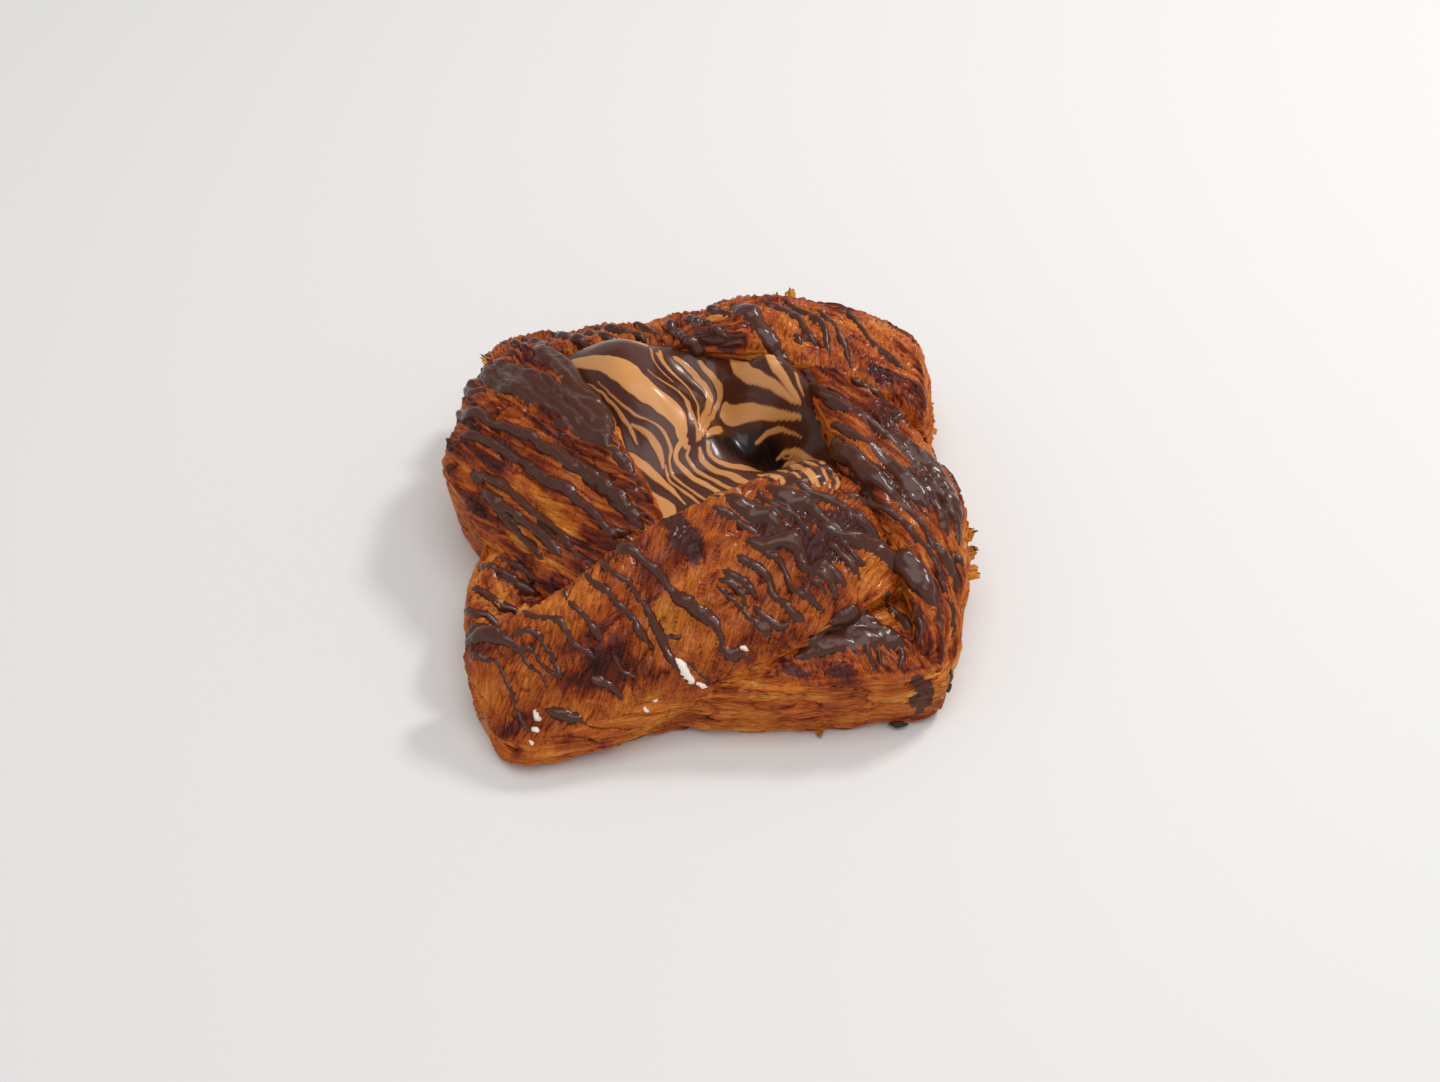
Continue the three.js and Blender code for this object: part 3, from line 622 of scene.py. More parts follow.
drizzle = {
    "front": [
        [(-38.4, -40.3, 1), (-36, -42.6, 1), (-33.2, -43.2, 0.9), (-31.5, -43.8, 1.2), (-28.2, -47.2, 1.3),
         (-23.8, -50.2, 1)],
        [(-29.8, -37, 1), (-29, -40, 0.9), (-27.8, -41.8, 1.1), (-24.8, -44.3, 1.3), (-21.8, -46.9, 1.9)],
        [(-50, -41.3, 3), (-45.7, -42.6, 3.6), (-42, -45, 2.4), (-38, -47, 1.4)],
        [(-40.3, -44.7, 1.4), (-35.2, -45.5, 1.2), (-33.2, -48, 1.1), (-31, -50.8, 1.2), (-30.2, -52.8, 1)],
        [(-38.5, -46.2, 1), (-36.2, -47.3, 0.9), (-34.2, -49.6, 0.9), (-31.2, -52.4, 1)],
        [(-38.2, -47.2, 1.2), (-36.6, -49.7, 0.9), (-34.4, -52.2, 0.8), (-32.9, -54.7, 0.7)],
        [(-49.5, -44.8, 1.7), (-46, -46.5, 1.5), (-43.6, -47.2, 1), (-42, -50.2, 0.9), (-40.7, -52.8, 0.8),
         (-38.4, -57.4, 0.9), (-36.8, -59.4, 0.8)],
        [(-33.3, -56.8, 1.8), (-30.7, -57.3, 2.6), (-27.5, -57.6, 1.7), (-25.3, -58.8, 0.8)],
        [(-24, -52.6, 1.9), (-21.5, -53, 1.9), (-19.5, -53.9, 1.4), (-17.8, -55, 0.7)],
        [(-19.8, -49.3, 1.2), (-17.8, -51, 0.9), (-15, -52.2, 0.7)],
        [(-26.5, -31.8, 1.5), (-24.8, -35.6, 1.3), (-23.2, -37.7, 1.5), (-20.7, -39.7, 1.5),
         (-16, -43, 1.5), (-14.8, -45.4, 1.9), (-12, -46.8, 1.3)],
        [(-23.6, -30.4, 1.2), (-21.5, -34, 1.2), (-19.5, -36, 1.2), (-16.5, -38, 1.2), (-13.6, -41, 1.4),
         (-12, -43, 1.7), (-10.2, -45.6, 2.1), (-8.6, -48.6, 1.5), (-6.2, -51.2, 1.1), (-4.5, -52.4, 0.8)],
        [(-8.8, -45.4, 1.5), (-6.2, -45.3, 1.3)],
        [(-5, -49.3, 1), (-2.7, -50.6, 0.9), (-0.5, -51.8, 0.8)],
        [(-20.5, -26.6, 3), (-18.6, -28.4, 3), (-16.5, -30.8, 2.2), (-14, -33, 1.6), (-10.6, -35.5, 1.8),
         (-8.1, -38, 2.1), (-5.7, -40, 2.5), (-2.7, -41.8, 2.8), (0.2, -43, 2.4), (1.2, -45.5, 1.4),
         (2.5, -48, 1.4), (5.3, -49.3, 1.7)],
        [(1.2, -47.6, 1.1), (4, -49.5, 1.2)],
        [(3.7, -47.9, 1.2), (7.5, -49.4, 1.2)],
        [(2.4, -34.3, 1.4), (4.5, -35.2, 1.4), (7, -36.8, 1.5), (8.8, -39.1, 1.2)],
        [(1.6, -36.2, 1.4), (3.7, -36.9, 1.3), (5.8, -38.6, 1.3), (7.2, -40.8, 1)],
        [(1, -37.5, 1), (3.7, -39.2, 0.9), (6.2, -41.6, 0.9), (8, -43.4, 0.8)],
        [(5, -31.4, 1.8), (7.4, -32.6, 2), (10, -34.2, 1.9), (11.6, -36.4, 1.7), (12, -38.4, 1.5),
         (13.7, -40.5, 1.7), (16.2, -42.6, 2.1), (18.7, -43.4, 1.6)],
        [(8.3, -41.3, 1.4), (10.8, -43.3, 1.5), (13.7, -44.7, 1.5), (15.8, -44.2, 1.1)],
        [(7.7, -42.8, 1), (9.5, -45, 1.1), (10.8, -46.4, 1)],
        [(9.4, -42.2, 0.9), (10.9, -44.6, 0.9), (12.2, -46, 0.8)],
        [(10.8, -30.4, 1.6), (13.3, -31.6, 1.5), (14.7, -34.4, 1.3), (16.4, -38, 1.3), (19.8, -41.2, 1.2)],
        [(7.5, -28, 2.8), (10.8, -28.8, 3.4), (15.3, -28.2, 3.4), (17.8, -30, 2.6), (18.7, -33, 1.9),
         (20.3, -34.7, 1.8), (23.7, -36.3, 2), (25, -39.4, 1.5)],
        [(17, -35.5, 1.2), (19.5, -36.5, 1.3), (21.6, -37.8, 1.2), (22.8, -39, 1)],
        [(17.8, -38, 1.3), (20.3, -40, 1.3), (22.8, -41, 1)],
        [(20.3, -33.2, 2), (22.8, -33.8, 2.4), (25.3, -35.3, 2.3), (27, -37.4, 1.3)],
        [(3.2, -18.4, 3), (6.6, -20.5, 4), (10.8, -21.8, 3.8), (13.9, -24.3, 2.6)],
        [(0.3, -21.3, 1.6), (3.2, -22.4, 2), (6.6, -24.6, 1.8), (9.3, -26.2, 2)],
        [(11.8, -15.4, 2.6), (15.8, -18, 3.8), (19.5, -19, 3), (22, -21.8, 2), (23.7, -23.8, 1.7),
         (27, -26, 1.6)],
        [(9.6, -15.8, 1.6), (11, -18.6, 1.6), (14.5, -20.4, 1.8), (17, -22, 1.8), (18.3, -24.5, 1.8),
         (20.3, -27, 1.5)],
        [(17.5, -14, 1.8), (21, -16.2, 2.4), (24.5, -17.5, 2.2), (27.5, -20.5, 2), (28.6, -23.5, 1.6)],
        [(22, -24.3, 1.6), (26.2, -26, 2), (30, -26.6, 3), (33.7, -27, 4), (37.2, -28.4, 3.6)],
        [(23.7, -28, 1.4), (26.2, -30.5, 1.3), (28.7, -32.6, 1.8), (30, -34.4, 1)],
        [(26.2, -27.8, 1.2), (27.8, -28.8, 1.1), (29.5, -30.7, 1.2), (31.6, -31.8, 1)],
        [(29, -20, 2), (31, -22.6, 2.6), (34, -24.4, 2.4)],
        [(33.6, -26.4, 2.4), (37.6, -29.2, 3.2), (40.8, -32.6, 3.4), (43, -35.8, 2.4)],
    ],
    "right": [
        [(28.3, -15.3, 2), (32.4, -16.4, 1.7), (36.6, -18.8, 1.6), (39, -20.6, 1.3), (41.2, -23.4, 1.4),
         (43.7, -25.4, 1.4), (46.2, -28, 1.1), (47, -30.5, 0.8)],
        [(38, -27, 2), (40.6, -30, 2.8), (42.4, -33, 3.4), (44, -35.8, 2.8), (45.4, -37.8, 1.4)],
        [(45, -34, 0.9), (45.8, -37.2, 1), (46.6, -39.7, 0.9), (46.6, -41.8, 0.7)],
        [(46.6, -24.2, 1.9), (48.3, -26.2, 2), (50, -28, 1.6), (50.9, -30.5, 0.9)],
        [(51, -23.2, 1.8), (52.3, -25.3, 1.6)],
        [(46.8, -31.4, 1.5), (48.5, -33.6, 1)],
        [(48.6, -34.6, 0.8), (49.8, -37.6, 0.8), (49.4, -40, 0.6)],
        [(20.6, 26.6, 1.5), (21.8, 23, 1.9), (23.2, 18.9, 2.1), (25.4, 14.3, 2.3), (28, 11.1, 2.3),
         (31.6, 8.4, 2.1), (35.2, 5.7, 1.7), (38, 3, 1.6), (40.2, 0.7, 1.5), (44.8, -5.2, 1.5),
         (46.6, -8, 1.6), (48.9, -11, 1.7), (51.4, -15.2, 1.4)],
        [(38.6, 5.4, 1.3), (43, 1.4, 3), (46.6, -1.6, 3.8), (49.2, -5.2, 4.4), (50.8, -9, 4),
         (51, -12.5, 3.4), (51.6, -17, 2), (51.8, -21, 1.2)],
        [(26.1, 6.6, 2), (28.4, 3.8, 1.7), (31.1, 0.7, 1.6), (34.8, -2.5, 1.7), (37.5, -5.7, 2.3),
         (40.2, -8.9, 3.1), (42.5, -12.5, 3.5), (44.8, -15.9, 2.2)],
        [(23.6, 7.5, 2), (25.6, 3, 3.2), (28.4, -3, 3.6), (31.1, -7, 3.5), (33.9, -10.7, 3.2),
         (36.6, -13.6, 1.9), (39.3, -16.3, 1.7), (41.6, -18.8, 1.5), (44.3, -22, 1.4), (46.1, -25.5, 1.2)],
        [(31.6, 25, 1.5), (34.8, 23.6, 1.5), (38.4, 21.4, 1.5), (41.4, 19.2, 1.3), (43.6, 17.4, 1.6)],
        [(47.3, 8, 1), (50, 3.4, 1.1), (52, -1, 1.1), (53.3, -5, 1)],
        [(44.5, -9.5, 1.2), (46.5, -12.8, 1.8), (48.4, -16.8, 1.8), (49.4, -20, 1.3)],
        [(41.5, 14.4, 1.1), (41.4, 12, 1.4), (39.3, 10, 1.1)],
    ],
    "left": [
        [(-50.5, 28, 4), (-45.7, 23, 5), (-40.5, 18.4, 7), (-36.4, 15.3, 7.5), (-32.7, 12, 6.6),
         (-28.2, 7.5, 5.8), (-24.5, 3, 4.6), (-22.3, -1.6, 2.6)],
        [(-51.5, 27, 2), (-47.5, 21.5, 2.4), (-43, 17, 2.4), (-38.4, 13.4, 2.2), (-34, 9.6, 1.6)],
        [(-48.5, 30, 2.2), (-43, 23.6, 2.2), (-37, 19.4, 2.4), (-32, 14.6, 2.4), (-27.6, 9, 2.2),
         (-25, 4.6, 1.8)],
        [(-41, 20.4, 1.6), (-35.6, 15.8, 1.8), (-31, 10.6, 1.7)],
        [(-39, 32, 3), (-34, 26.5, 5), (-30, 20.5, 5.5), (-27, 14.5, 5.5), (-24.2, 8.5, 5),
         (-21.8, 3, 3.4)],
        [(-55, 15.2, 2), (-52.3, 13.4, 2.4), (-49, 10.7, 2.1), (-45.5, 7.5, 1.8), (-42.3, 5.2, 1.9),
         (-39, 3.4, 2.1), (-36.4, 0.7, 2.2), (-33.2, -1.1, 2.1), (-30.9, -3.9, 2.2), (-27.3, -6.1, 2.6),
         (-24, -9.3, 2.7), (-20.9, -12.5, 2.5), (-17.7, -16.1, 2.6), (-14.5, -20, 2)],
        [(-54, 8.4, 1.7), (-51, 6.2, 1.7), (-47.3, 3.4, 1.6), (-43.6, 1.1, 1.6), (-40.5, -1.6, 1.7),
         (-37.3, -4.8, 1.8), (-34.5, -7.5, 2.1), (-30.9, -10.2, 2.4), (-28.2, -13, 2.1),
         (-25.5, -15.7, 1.7), (-23.2, -18.9, 1.5), (-21.4, -21.6, 1.4)],
        [(-51.8, 0.2, 1.6), (-49, -2.5, 1.6), (-45, -5.2, 1.6), (-41.8, -8.4, 1.5), (-39.5, -11.1, 1.4),
         (-36.4, -14.3, 1.5), (-32.7, -18.4, 1.5), (-29.1, -22.3, 1.4)],
        [(-49, -5.2, 2), (-45.9, -8.4, 2), (-42.7, -11.6, 1.7), (-39.5, -14.8, 1.6), (-36.4, -18, 1.7),
         (-33.6, -21.1, 1.8), (-31.5, -23.8, 1.5)],
        [(-47.4, -8.6, 1.3), (-44.5, -11.8, 1.3), (-42.3, -14.5, 1.2), (-40.5, -16.8, 1.2),
         (-37.7, -20.4, 1.2), (-35.5, -23.6, 1.1)],
        [(-21.4, -2.5, 2.4), (-18.6, -5.4, 2.4), (-16.6, -8.4, 1.8)],
        [(-22.3, -20.5, 2), (-20, -21.2, 2.4), (-17.6, -21, 1.9)],
        [(-56.4, 19.5, 2), (-54.6, 16.4, 2.4), (-53, 13.6, 2)],
        [(-53.4, 32, 2), (-54, 27, 2.2), (-53.4, 22.6, 2.4), (-50, 20.4, 1.6)],
    ],
    "low": [
        [(-49.8, -18.9, 1.5), (-47.3, -21.3, 1.6), (-44.4, -23, 1.5), (-41.9, -24.7, 1.9),
         (-39.4, -26.3, 1.9), (-36.9, -28, 1.3)],
        [(-44.6, -19, 1.1), (-41.5, -21.3, 1.2), (-39.8, -22.6, 1.2), (-37.3, -25.5, 1.2),
         (-35.4, -27.4, 1)],
        [(-50.6, -25.6, 1), (-49.4, -26.5, 1.3), (-46.1, -28.8, 1.3), (-43.6, -30.5, 1.6),
         (-40.3, -31.5, 1.4), (-38.2, -32.4, 1.2)],
        [(-51.9, -29.8, 1.4), (-49.4, -32.2, 1.6), (-46.5, -33, 1.5), (-44.6, -35, 1.4),
         (-42.6, -38.4, 1.4)],
        [(-51, -35, 2.4), (-47.8, -36.3, 3.4), (-44.5, -36.8, 3), (-42, -38.6, 2)],
        [(35.7, -34.9, 1.6), (37.8, -36.8, 2), (40, -39.4, 1.9), (41.2, -41, 1.2)],
        [(16.5, -48, 1.6), (20.5, -46.8, 3.2), (25.2, -45, 4.6), (29, -43.6, 5.6), (32.6, -43.4, 6),
         (35.6, -43.8, 5), (38.6, -44.6, 2.6)],
        [(24.6, -42.4, 2.2), (28, -41.2, 3.4), (31.4, -40.4, 3.4), (34.6, -41.2, 3)],
        [(16.6, -48.6, 1.3), (18.6, -47.4, 1.6)],
        [(31, -45.6, 1.6), (31.6, -48, 1.2), (32.8, -50.8, 1)],
        [(33.6, -46.2, 1.1), (33.8, -48.6, 0.9), (34.2, -50.2, 0.9)],
        [(38, -45.4, 1.3), (38.4, -47.6, 1.6), (37, -50.2, 1.2)],
        [(41.6, -40.6, 1.6), (42.4, -43, 1.2), (41.6, -45.6, 0.9)],
    ],
    "tail": [
        [(-48.4, 44.3, 1.6), (-45.5, 41.3, 1.7), (-43, 38, 1.7), (-42, 35, 1.4)],
        [(-43.6, 44.3, 2), (-40.7, 41.3, 2.2), (-39, 36.6, 2.2), (-36, 32.8, 1.6)],
        [(-36, 44.6, 2.4), (-33, 41.3, 2.7), (-30.2, 38.4, 2.7), (-27.8, 35.4, 2)],
        [(-30.7, 45.4, 1.8), (-27.8, 42.4, 2), (-24.2, 39.2, 2), (-20.7, 37.4, 1.6)],
        [(-26.8, 46.4, 1.6), (-23, 43, 1.8), (-18.5, 40.4, 1.8), (-14.5, 37, 1.4)],
        [(-50.8, 43, 2.2), (-51.6, 39.6, 2.4), (-49.6, 36.4, 2)],
        [(-19.5, 47, 1.4), (-15.6, 43, 1.6), (-12, 38.6, 1.4)],
    ],
    "back": [
        [(-9.5, 44.3, 2), (-9, 40.7, 1.9), (-7.2, 37.2, 1.9), (-6.6, 33.7, 1.6)],
        [(-5.4, 44.9, 2.3), (-3.6, 40.7, 2.3), (-3, 36, 1.8)],
        [(-0.7, 46.4, 2.6), (1.6, 43, 2.7), (4.4, 40.7, 2.2)],
        [(5.2, 45.3, 3.4), (8.1, 41, 4.4), (10.5, 36.8, 4.2), (13.4, 33, 3.4), (15.8, 30.1, 2)],
        [(12.2, 46.6, 2.2), (16.4, 43.6, 2.8), (19.9, 40, 2.3), (21.6, 36.6, 1.7), (23.4, 32.5, 1.3)],
        [(18.1, 46.8, 2.3), (22.2, 43, 2.1), (24.6, 39.5, 1.7), (25.8, 36, 1.4), (26.4, 30.9, 1.2)],
        [(24.6, 45.8, 1.4), (27, 41.3, 1.4), (28.7, 36.6, 1.4), (30.5, 31.3, 1.3), (31.5, 27.2, 1.1)],
        [(31, 46, 1.4), (34, 42, 1.3), (36.4, 37.2, 1.4), (39.9, 33, 1.8), (42.8, 29.2, 1.4)],
        [(-6.6, 34.3, 2.6), (-3, 31.3, 2.6), (0.5, 29.2, 2.2), (3.4, 28.5, 1.5)],
        [(11.4, 32.6, 1.8), (15.2, 29.7, 1.9), (17.5, 28.8, 1.4)],
        [(-1.6, 39.4, 1.4), (0.4, 35.4, 1.6), (3.6, 32.4, 1.4)],
        [(19, 34.8, 1.2), (19.8, 31.8, 1.2)],
    ],
    # thin smears that the dough shows through
    "smears": [
        [(-8.8, -22, 3.4), (-6.6, -26.5, 4.6), (-4.6, -30, 4.2), (-2.8, -32.6, 2)],
        [(9, -24, 5), (14, -27, 6), (20, -29, 5), (26, -31, 4)],
        [(14, -19, 5), (20, -22, 5), (26, -24.5, 5), (32, -26, 4)],
        [(41, -6, 3), (45, -9.5, 4.5), (48.4, -14, 4)],
        [(-45.6, -23.4, 1.6), (-42, -26, 2)],
        [(14, -50.6, 1.6), (17, -50.8, 2), (19.6, -51, 1.2)],
        [(23, -50.8, 1.4), (26, -51.2, 1.8), (29, -51, 1.2)],
        [(-2.5, 34.5, 4), (1.5, 33, 4), (5.5, 30.6, 3)],
        [(38, 10.6, 2.4), (40.6, 12.2, 3)],
    ],
    # smears on the front wall: x, y, z and width
    "wallSmears": [
        (41.4, -51.2, 14.5, 3.6), (43, -51, 12, 4.4), (43.6, -50.8, 9.4, 4.6), (43.4, -50.6, 6.6, 4),
        (42, -50.8, 8, 4), (42.6, -50.4, 4.6, 2.4),
    ],
    # set sugar
    "icing": [
        [(-7.3, -49.4, 2.4), (-5.7, -50.9, 2.4), (-4.2, -52, 2.4)],
        [(-3, -52.4, 1.7), (-1.4, -52.7, 1.1)],
        [(5.4, -48, 0.9), (6.8, -48.3, 1.1)],
        [(-35.7, -56.8, 1.7), (-34.8, -57.8, 1.2)],
        [(-36.2, -59.2, 1.3), (-35.2, -59.7, 1.3)],
        [(-36.9, -60.9, 1), (-36.1, -61.1, 0.7)],
        [(-14, -55.5, 0.8), (-12.6, -55.8, 0.9)],
        [(-12, -54.3, 0.6), (-11.2, -54.2, 0.7)],
    ],
    "wider": {"front": 1.04, "right": 1.15, "left": 1.22, "low": 1.08, "tail": 1.05, "back": 1.05},
    "heights": (0.45, 0.28, 1.35),  # a base, a share of the width, and the most
    "flatter": (0.4, 3.5, 7),  # how much lower wide lines are, from one width to another
    "halfWidth": (0.57, 0.08),  # a share of the width, and what is added
    "tip": (0.25, 0.2),  # how much of a line its very end keeps, and what rounds it
    "smearHeight": 0.5,
    "wallSmear": (0.55, 0.6),  # half width for each millimetre of width, and height
    # how much, over which length, how unlike the next line, and the seed
    "wander": (0.4, 5.5, 7.31, 41),
    "swell": (0.3, 3.4, 5.73, 43),
    "step": 0.35,  # spacing of the places along a line
    "fall": (0.6, 5.0, 0.4),  # least and most that a line runs down at once, and its step there
    "grain": 0.31,
    "sunk": -0.34,  # a coat ends where it lies this deep under its base
    "sunkEdge": 1.6,  # its edge goes down to this many times as deep
    "underside": 0.75,  # how deep its hidden side lies
    "felt": (1.6, 0.2),  # how far a line is felt: a share of its half width, and what is added
    "merge": 8.0,  # how sharply lines stay apart where they meet
    "bare": -1.2,  # depth where there is no chocolate
    "deepest": -1.5,
    "broad": (1.9, 1.5),  # half width from which a line is flat-topped, and how flat
    "ripples": [(0.08, 1.1, 71)],
    "rippleDepth": (-0.1, 0.3),  # depth from which there are ripples, and where they are whole
    # first numbers of the smears, the sugar and the lip's lines, so that no two lines waver alike
    "firstSmear": 200,
    "firstIcing": 300,
    "firstLip": 400,
    "stainEdge": [(0.22, 1.2, 72), (0.16, 0.5, 73)],
    "stainSoftness": 0.16,
}


# Height of the visible top over the drawing's plan, from all the dough's grids.
class TopMap:
    cell = 0.5
    reach = 70
    count = 280

    def __init__(self):
        self.heights = np.full((self.count, self.count), -1.0)

    def index(self, x, y):
        spots = (((np.asarray(v) + self.reach) / self.cell).astype(int) for v in (x, y))
        return tuple(np.clip(spot, 0, self.count - 1) for spot in spots)

    def add(self, grid):
        places = self.index(grid[..., 0].ravel(), grid[..., 1].ravel())
        np.maximum.at(self.heights, places, grid[..., 2].ravel())

    # Fills the small gaps between points without moving any edge.
    def close(self):
        for keep in (np.maximum, np.minimum):
            for axis in (0, 1):
                ahead = np.roll(self.heights, 1, axis)
                behind = np.roll(self.heights, -1, axis)
                self.heights = keep(self.heights, keep(ahead, behind))

    def at(self, x, y):
        return self.heights[self.index(x, y)]


# Places along one chocolate line: x, y, z, half width and height.
def linePlaces(line, number, topMap, smear=False):
    rough = smoothStroke(line)
    run = runAlong(rough[:, :2])
    length = run[-1]
    wanted = np.linspace(0, length, max(4, int(length / drizzle["step"])))
    spots = np.column_stack([np.interp(wanted, run, rough[:, k]) for k in range(3)])
    ahead = np.gradient(spots[:, :2], axis=0)
    left = np.column_stack([-ahead[:, 1], ahead[:, 0]])
    left = left / (np.linalg.norm(ahead, axis=1)[:, None] + nearNothing)

    def waver(key):
        size, spacing, unlike, seed = drizzle[key]
        return size * softNoise(wanted / spacing, np.full(len(wanted), number * unlike), seed)

    x, y = (spots[:, :2] + left * waver("wander")[:, None]).T
    z = topMap.at(x, y)
    width = spots[:, 2] * (1 + waver("swell"))
    kept, rounding = drizzle["tip"]
    ends = np.minimum(wanted, length - wanted)
    tip = np.sqrt(np.clip(kept + ends / (width + rounding), 0, 1))
    base, share, most = drizzle["heights"]
    lower, narrow, wide = drizzle["flatter"]
    tall = np.minimum(base + share * width, most) * (1 - lower * smoothStep(width, narrow, wide))
    if smear:
        tall = np.full(len(width), drizzle["smearHeight"])
    ofWidth, added = drizzle["halfWidth"]
    places = np.column_stack([x, y, z, (width * ofWidth + added) * tip, tall * tip])[z > 0]
    return runDown(places)


# The same places with more between them where the line runs down a drop.
def runDown(places):
    least, most, step = drizzle["fall"]
    filled = [places[:1]]
    for before, after in zip(places[:-1], places[1:]):
        drop = abs(after[2] - before[2])
        if least < drop < most:
            shares = np.linspace(0, 1, int(drop / step) + 2)[1:, None]
            filled.append(before * (1 - shares) + after * shares)
        else:
            filled.append(after[None])
    return np.vstack(filled)


# Places of several lines that are numbered on from the first, so that each wavers in its own way.
def numberedLines(strokes, first, topMap, smear=False):
    return [linePlaces(line, first + n, topMap, smear) for n, line in enumerate(strokes)]


# Thickness of chocolate at each point, merging the lines that meet.
def chocolateDepth(points, allPlaces):
    flat = points.reshape(-1, 3).astype(np.float32)
    merge = drizzle["merge"]
    broad, flatness = drizzle["broad"]
    total = np.full(len(flat), math.exp(merge * drizzle["bare"]), np.float32)
    ofHalfWidth, added = drizzle["felt"]
    mostAtOnce = 4_000_000
    for places in allPlaces:
        reach = ofHalfWidth * places[:, 3].max() + added
        low = places[:, :3].min(axis=0) - reach
        high = places[:, :3].max(axis=0) + reach
        near = np.flatnonzero(((flat > low) & (flat < high)).all(axis=1))
        for part in np.array_split(near, max(1, len(near) * len(places) // mostAtOnce)):
            if not len(part):
                continue
            apart = ((flat[part, None] - places[None, :, :3].astype(np.float32)) ** 2).sum(axis=2)
            power = np.where(places[:, 3] > broad, flatness, 1.0)
            bead = places[:, 4] * (1 - (apart / places[:, 3] ** 2) ** power)
            best = np.maximum(bead.max(axis=1), drizzle["deepest"])
            total[part] += np.exp(merge * best)
    return (np.log(total) / merge).reshape(points.shape[:-1])


# How far thin smears of chocolate stain each place.
def stainOf(points, smears):
    ragged = layeredNoise(points[..., 0], points[..., 1], drizzle["stainEdge"])
    spread = chocolateDepth(points, smears) + ragged
    return smoothStep(spread, 0.0, drizzle["stainSoftness"])


# A closed shell over the part of a grid that a coat covers, or nothing where it covers none.
def coatShell(name, material, grid, normal, depth, shown=None):
    quads = gridFaces(*depth.shape)
    kept = quads[(depth.ravel()[quads] > drizzle["sunk"]).any(axis=1)]
    if not len(kept):
        return None
    used, compact = np.unique(kept, return_inverse=True)
    compact = compact.reshape(-1, 4)
    base = grid.reshape(-1, 3)[used]
    away = normal.reshape(-1, 3)[used]
    thick = np.maximum(depth.ravel()[used], drizzle["sunk"] * drizzle["sunkEdge"])
    top = base + away * thick[:, None]
    under = base - away * drizzle["underside"]
    count = len(used)
    edges = np.stack([compact, np.roll(compact, -1, axis=1)], axis=-1).reshape(-1, 2)
    edgeKeys = edges[:, 0].astype(np.int64) * count + edges[:, 1]
    turnedKeys = edges[:, 1].astype(np.int64) * count + edges[:, 0]
    border = edges[~np.isin(edgeKeys, turnedKeys)]
    start, end = border.T
    walls = np.stack([end, start, start + count, end + count], axis=1)
    faces = np.vstack([compact, compact[:, ::-1] + count, walls])
    both = {key: np.tile(values.ravel()[used], 2) for key, values in (shown or {}).items()}
    return makeMesh(name, material, np.vstack([top, under]), faces, None, both)


# Materials

bakedLook = {
    "browningAndShade": [
        (0.0, (242, 176, 78)), (0.15, (230, 140, 46)), (0.33, (213, 115, 32)),
        (0.52, (186, 85, 20)), (0.70, (134, 48, 10)), (0.86, (88, 26, 5)), (1.0, (56, 15, 4)),
    ],
    "stain": (82, 41, 36),
    "stainShare": 0.93,
    # how fine the fibres are along the strap, over it and up it, for each way that they run
    "fibres": {"along": (0.13, 1.5, 0), "over": (1.5, 0.2, 0), "walls": (0.06, 0, 1.6)},
    "fibreGrains": ((1.0, 3), (2.7, 2)),  # scale and detail of the coarse and the fine ones
    "freckles": ((0.9, 1.1, 0.6), 1.0, 4),
    "creases": (7.0, 0.1),  # how many in the span of the fibres, and their width
    # how much each darkens the dough; for the creases this is painted shade
    "darker": {"fibres": 0.5, "fine": 0.28, "freckles": 0.2, "creases": 0.11},
    "higher": {"fine": 0.5, "creases": -0.16},
    "roughness": (0.36, 0.6),
    "shine": 0.12,
    "glaze": 0.24,
    "glazeRoughness": 0.16,
    "bump": 0.0014,
    "bumpStrength": 0.9,
    "glow": 0.06,
    "glowReach": (0.004, 0.0015, 0.0006),
    "glowScale": 0.4,
}

plainLooks = {
    "dark chocolate": {
        "colour": (74, 37, 24),
        "roughness": 0.26,
        "shine": 0.36,
        "coat": (0.06, 0.08),  # weight and roughness
        "bump": (0.0001, 700.0, 3, 0.5),  # height in metres, how fine, detail and strength
    },
    "set sugar": {"colour": (238, 226, 214), "roughness": 0.35, "shine": 0.4},
    "burnt crumbs": {"colour": (58, 32, 23), "roughness": 0.5, "shine": 0.3},
    "pale floor": {"colour": (229, 227, 225), "roughness": 0.55, "shine": 0.25},
}


def newMaterial(name):
    material = bpy.data.materials.new(name)
    material.use_nodes = True
    tree = material.node_tree
    return material, tree.nodes, tree.links, tree.nodes["Principled BSDF"]


# A colour given as it is seen, 0 to 255, in the renderer's linear values.
def linear(colour):
    return [((c / 255 + 0.055) / 1.055) ** 2.4 if c > 10.3 else c / 255 / 12.92 for c in colour]


# A ramp through stops of a place and a colour that is already linear.
def rampNode(nodes, stops, blending="LINEAR"):
    ramp = nodes.new("ShaderNodeValToRGB")
    ramp.color_ramp.interpolation = blending
    while len(ramp.color_ramp.elements) < len(stops):
        ramp.color_ramp.elements.new(0.5)
    for element, (place, colour) in zip(ramp.color_ramp.elements, stops):
        element.position = place
        element.color = (*colour, 1)
    return ramp


def seenStops(stops):
    return [(place, linear(colour)) for place, colour in stops]


def mathNode(nodes, links, kind, *values, clamp=False):
    node = nodes.new("ShaderNodeMath")
    node.operation = kind
    node.use_clamp = clamp
    for socket, value in zip(node.inputs, values):
        if isinstance(value, (int, float)):
            socket.default_value = value
        else:
            links.new(value, socket)
    return node.outputs[0]


# A value or a place that the mesh shows at each of its points.
def shownNode(nodes, name, output="Fac"):
    node = nodes.new("ShaderNodeAttribute")
    node.attribute_name = name
    return node.outputs[output]
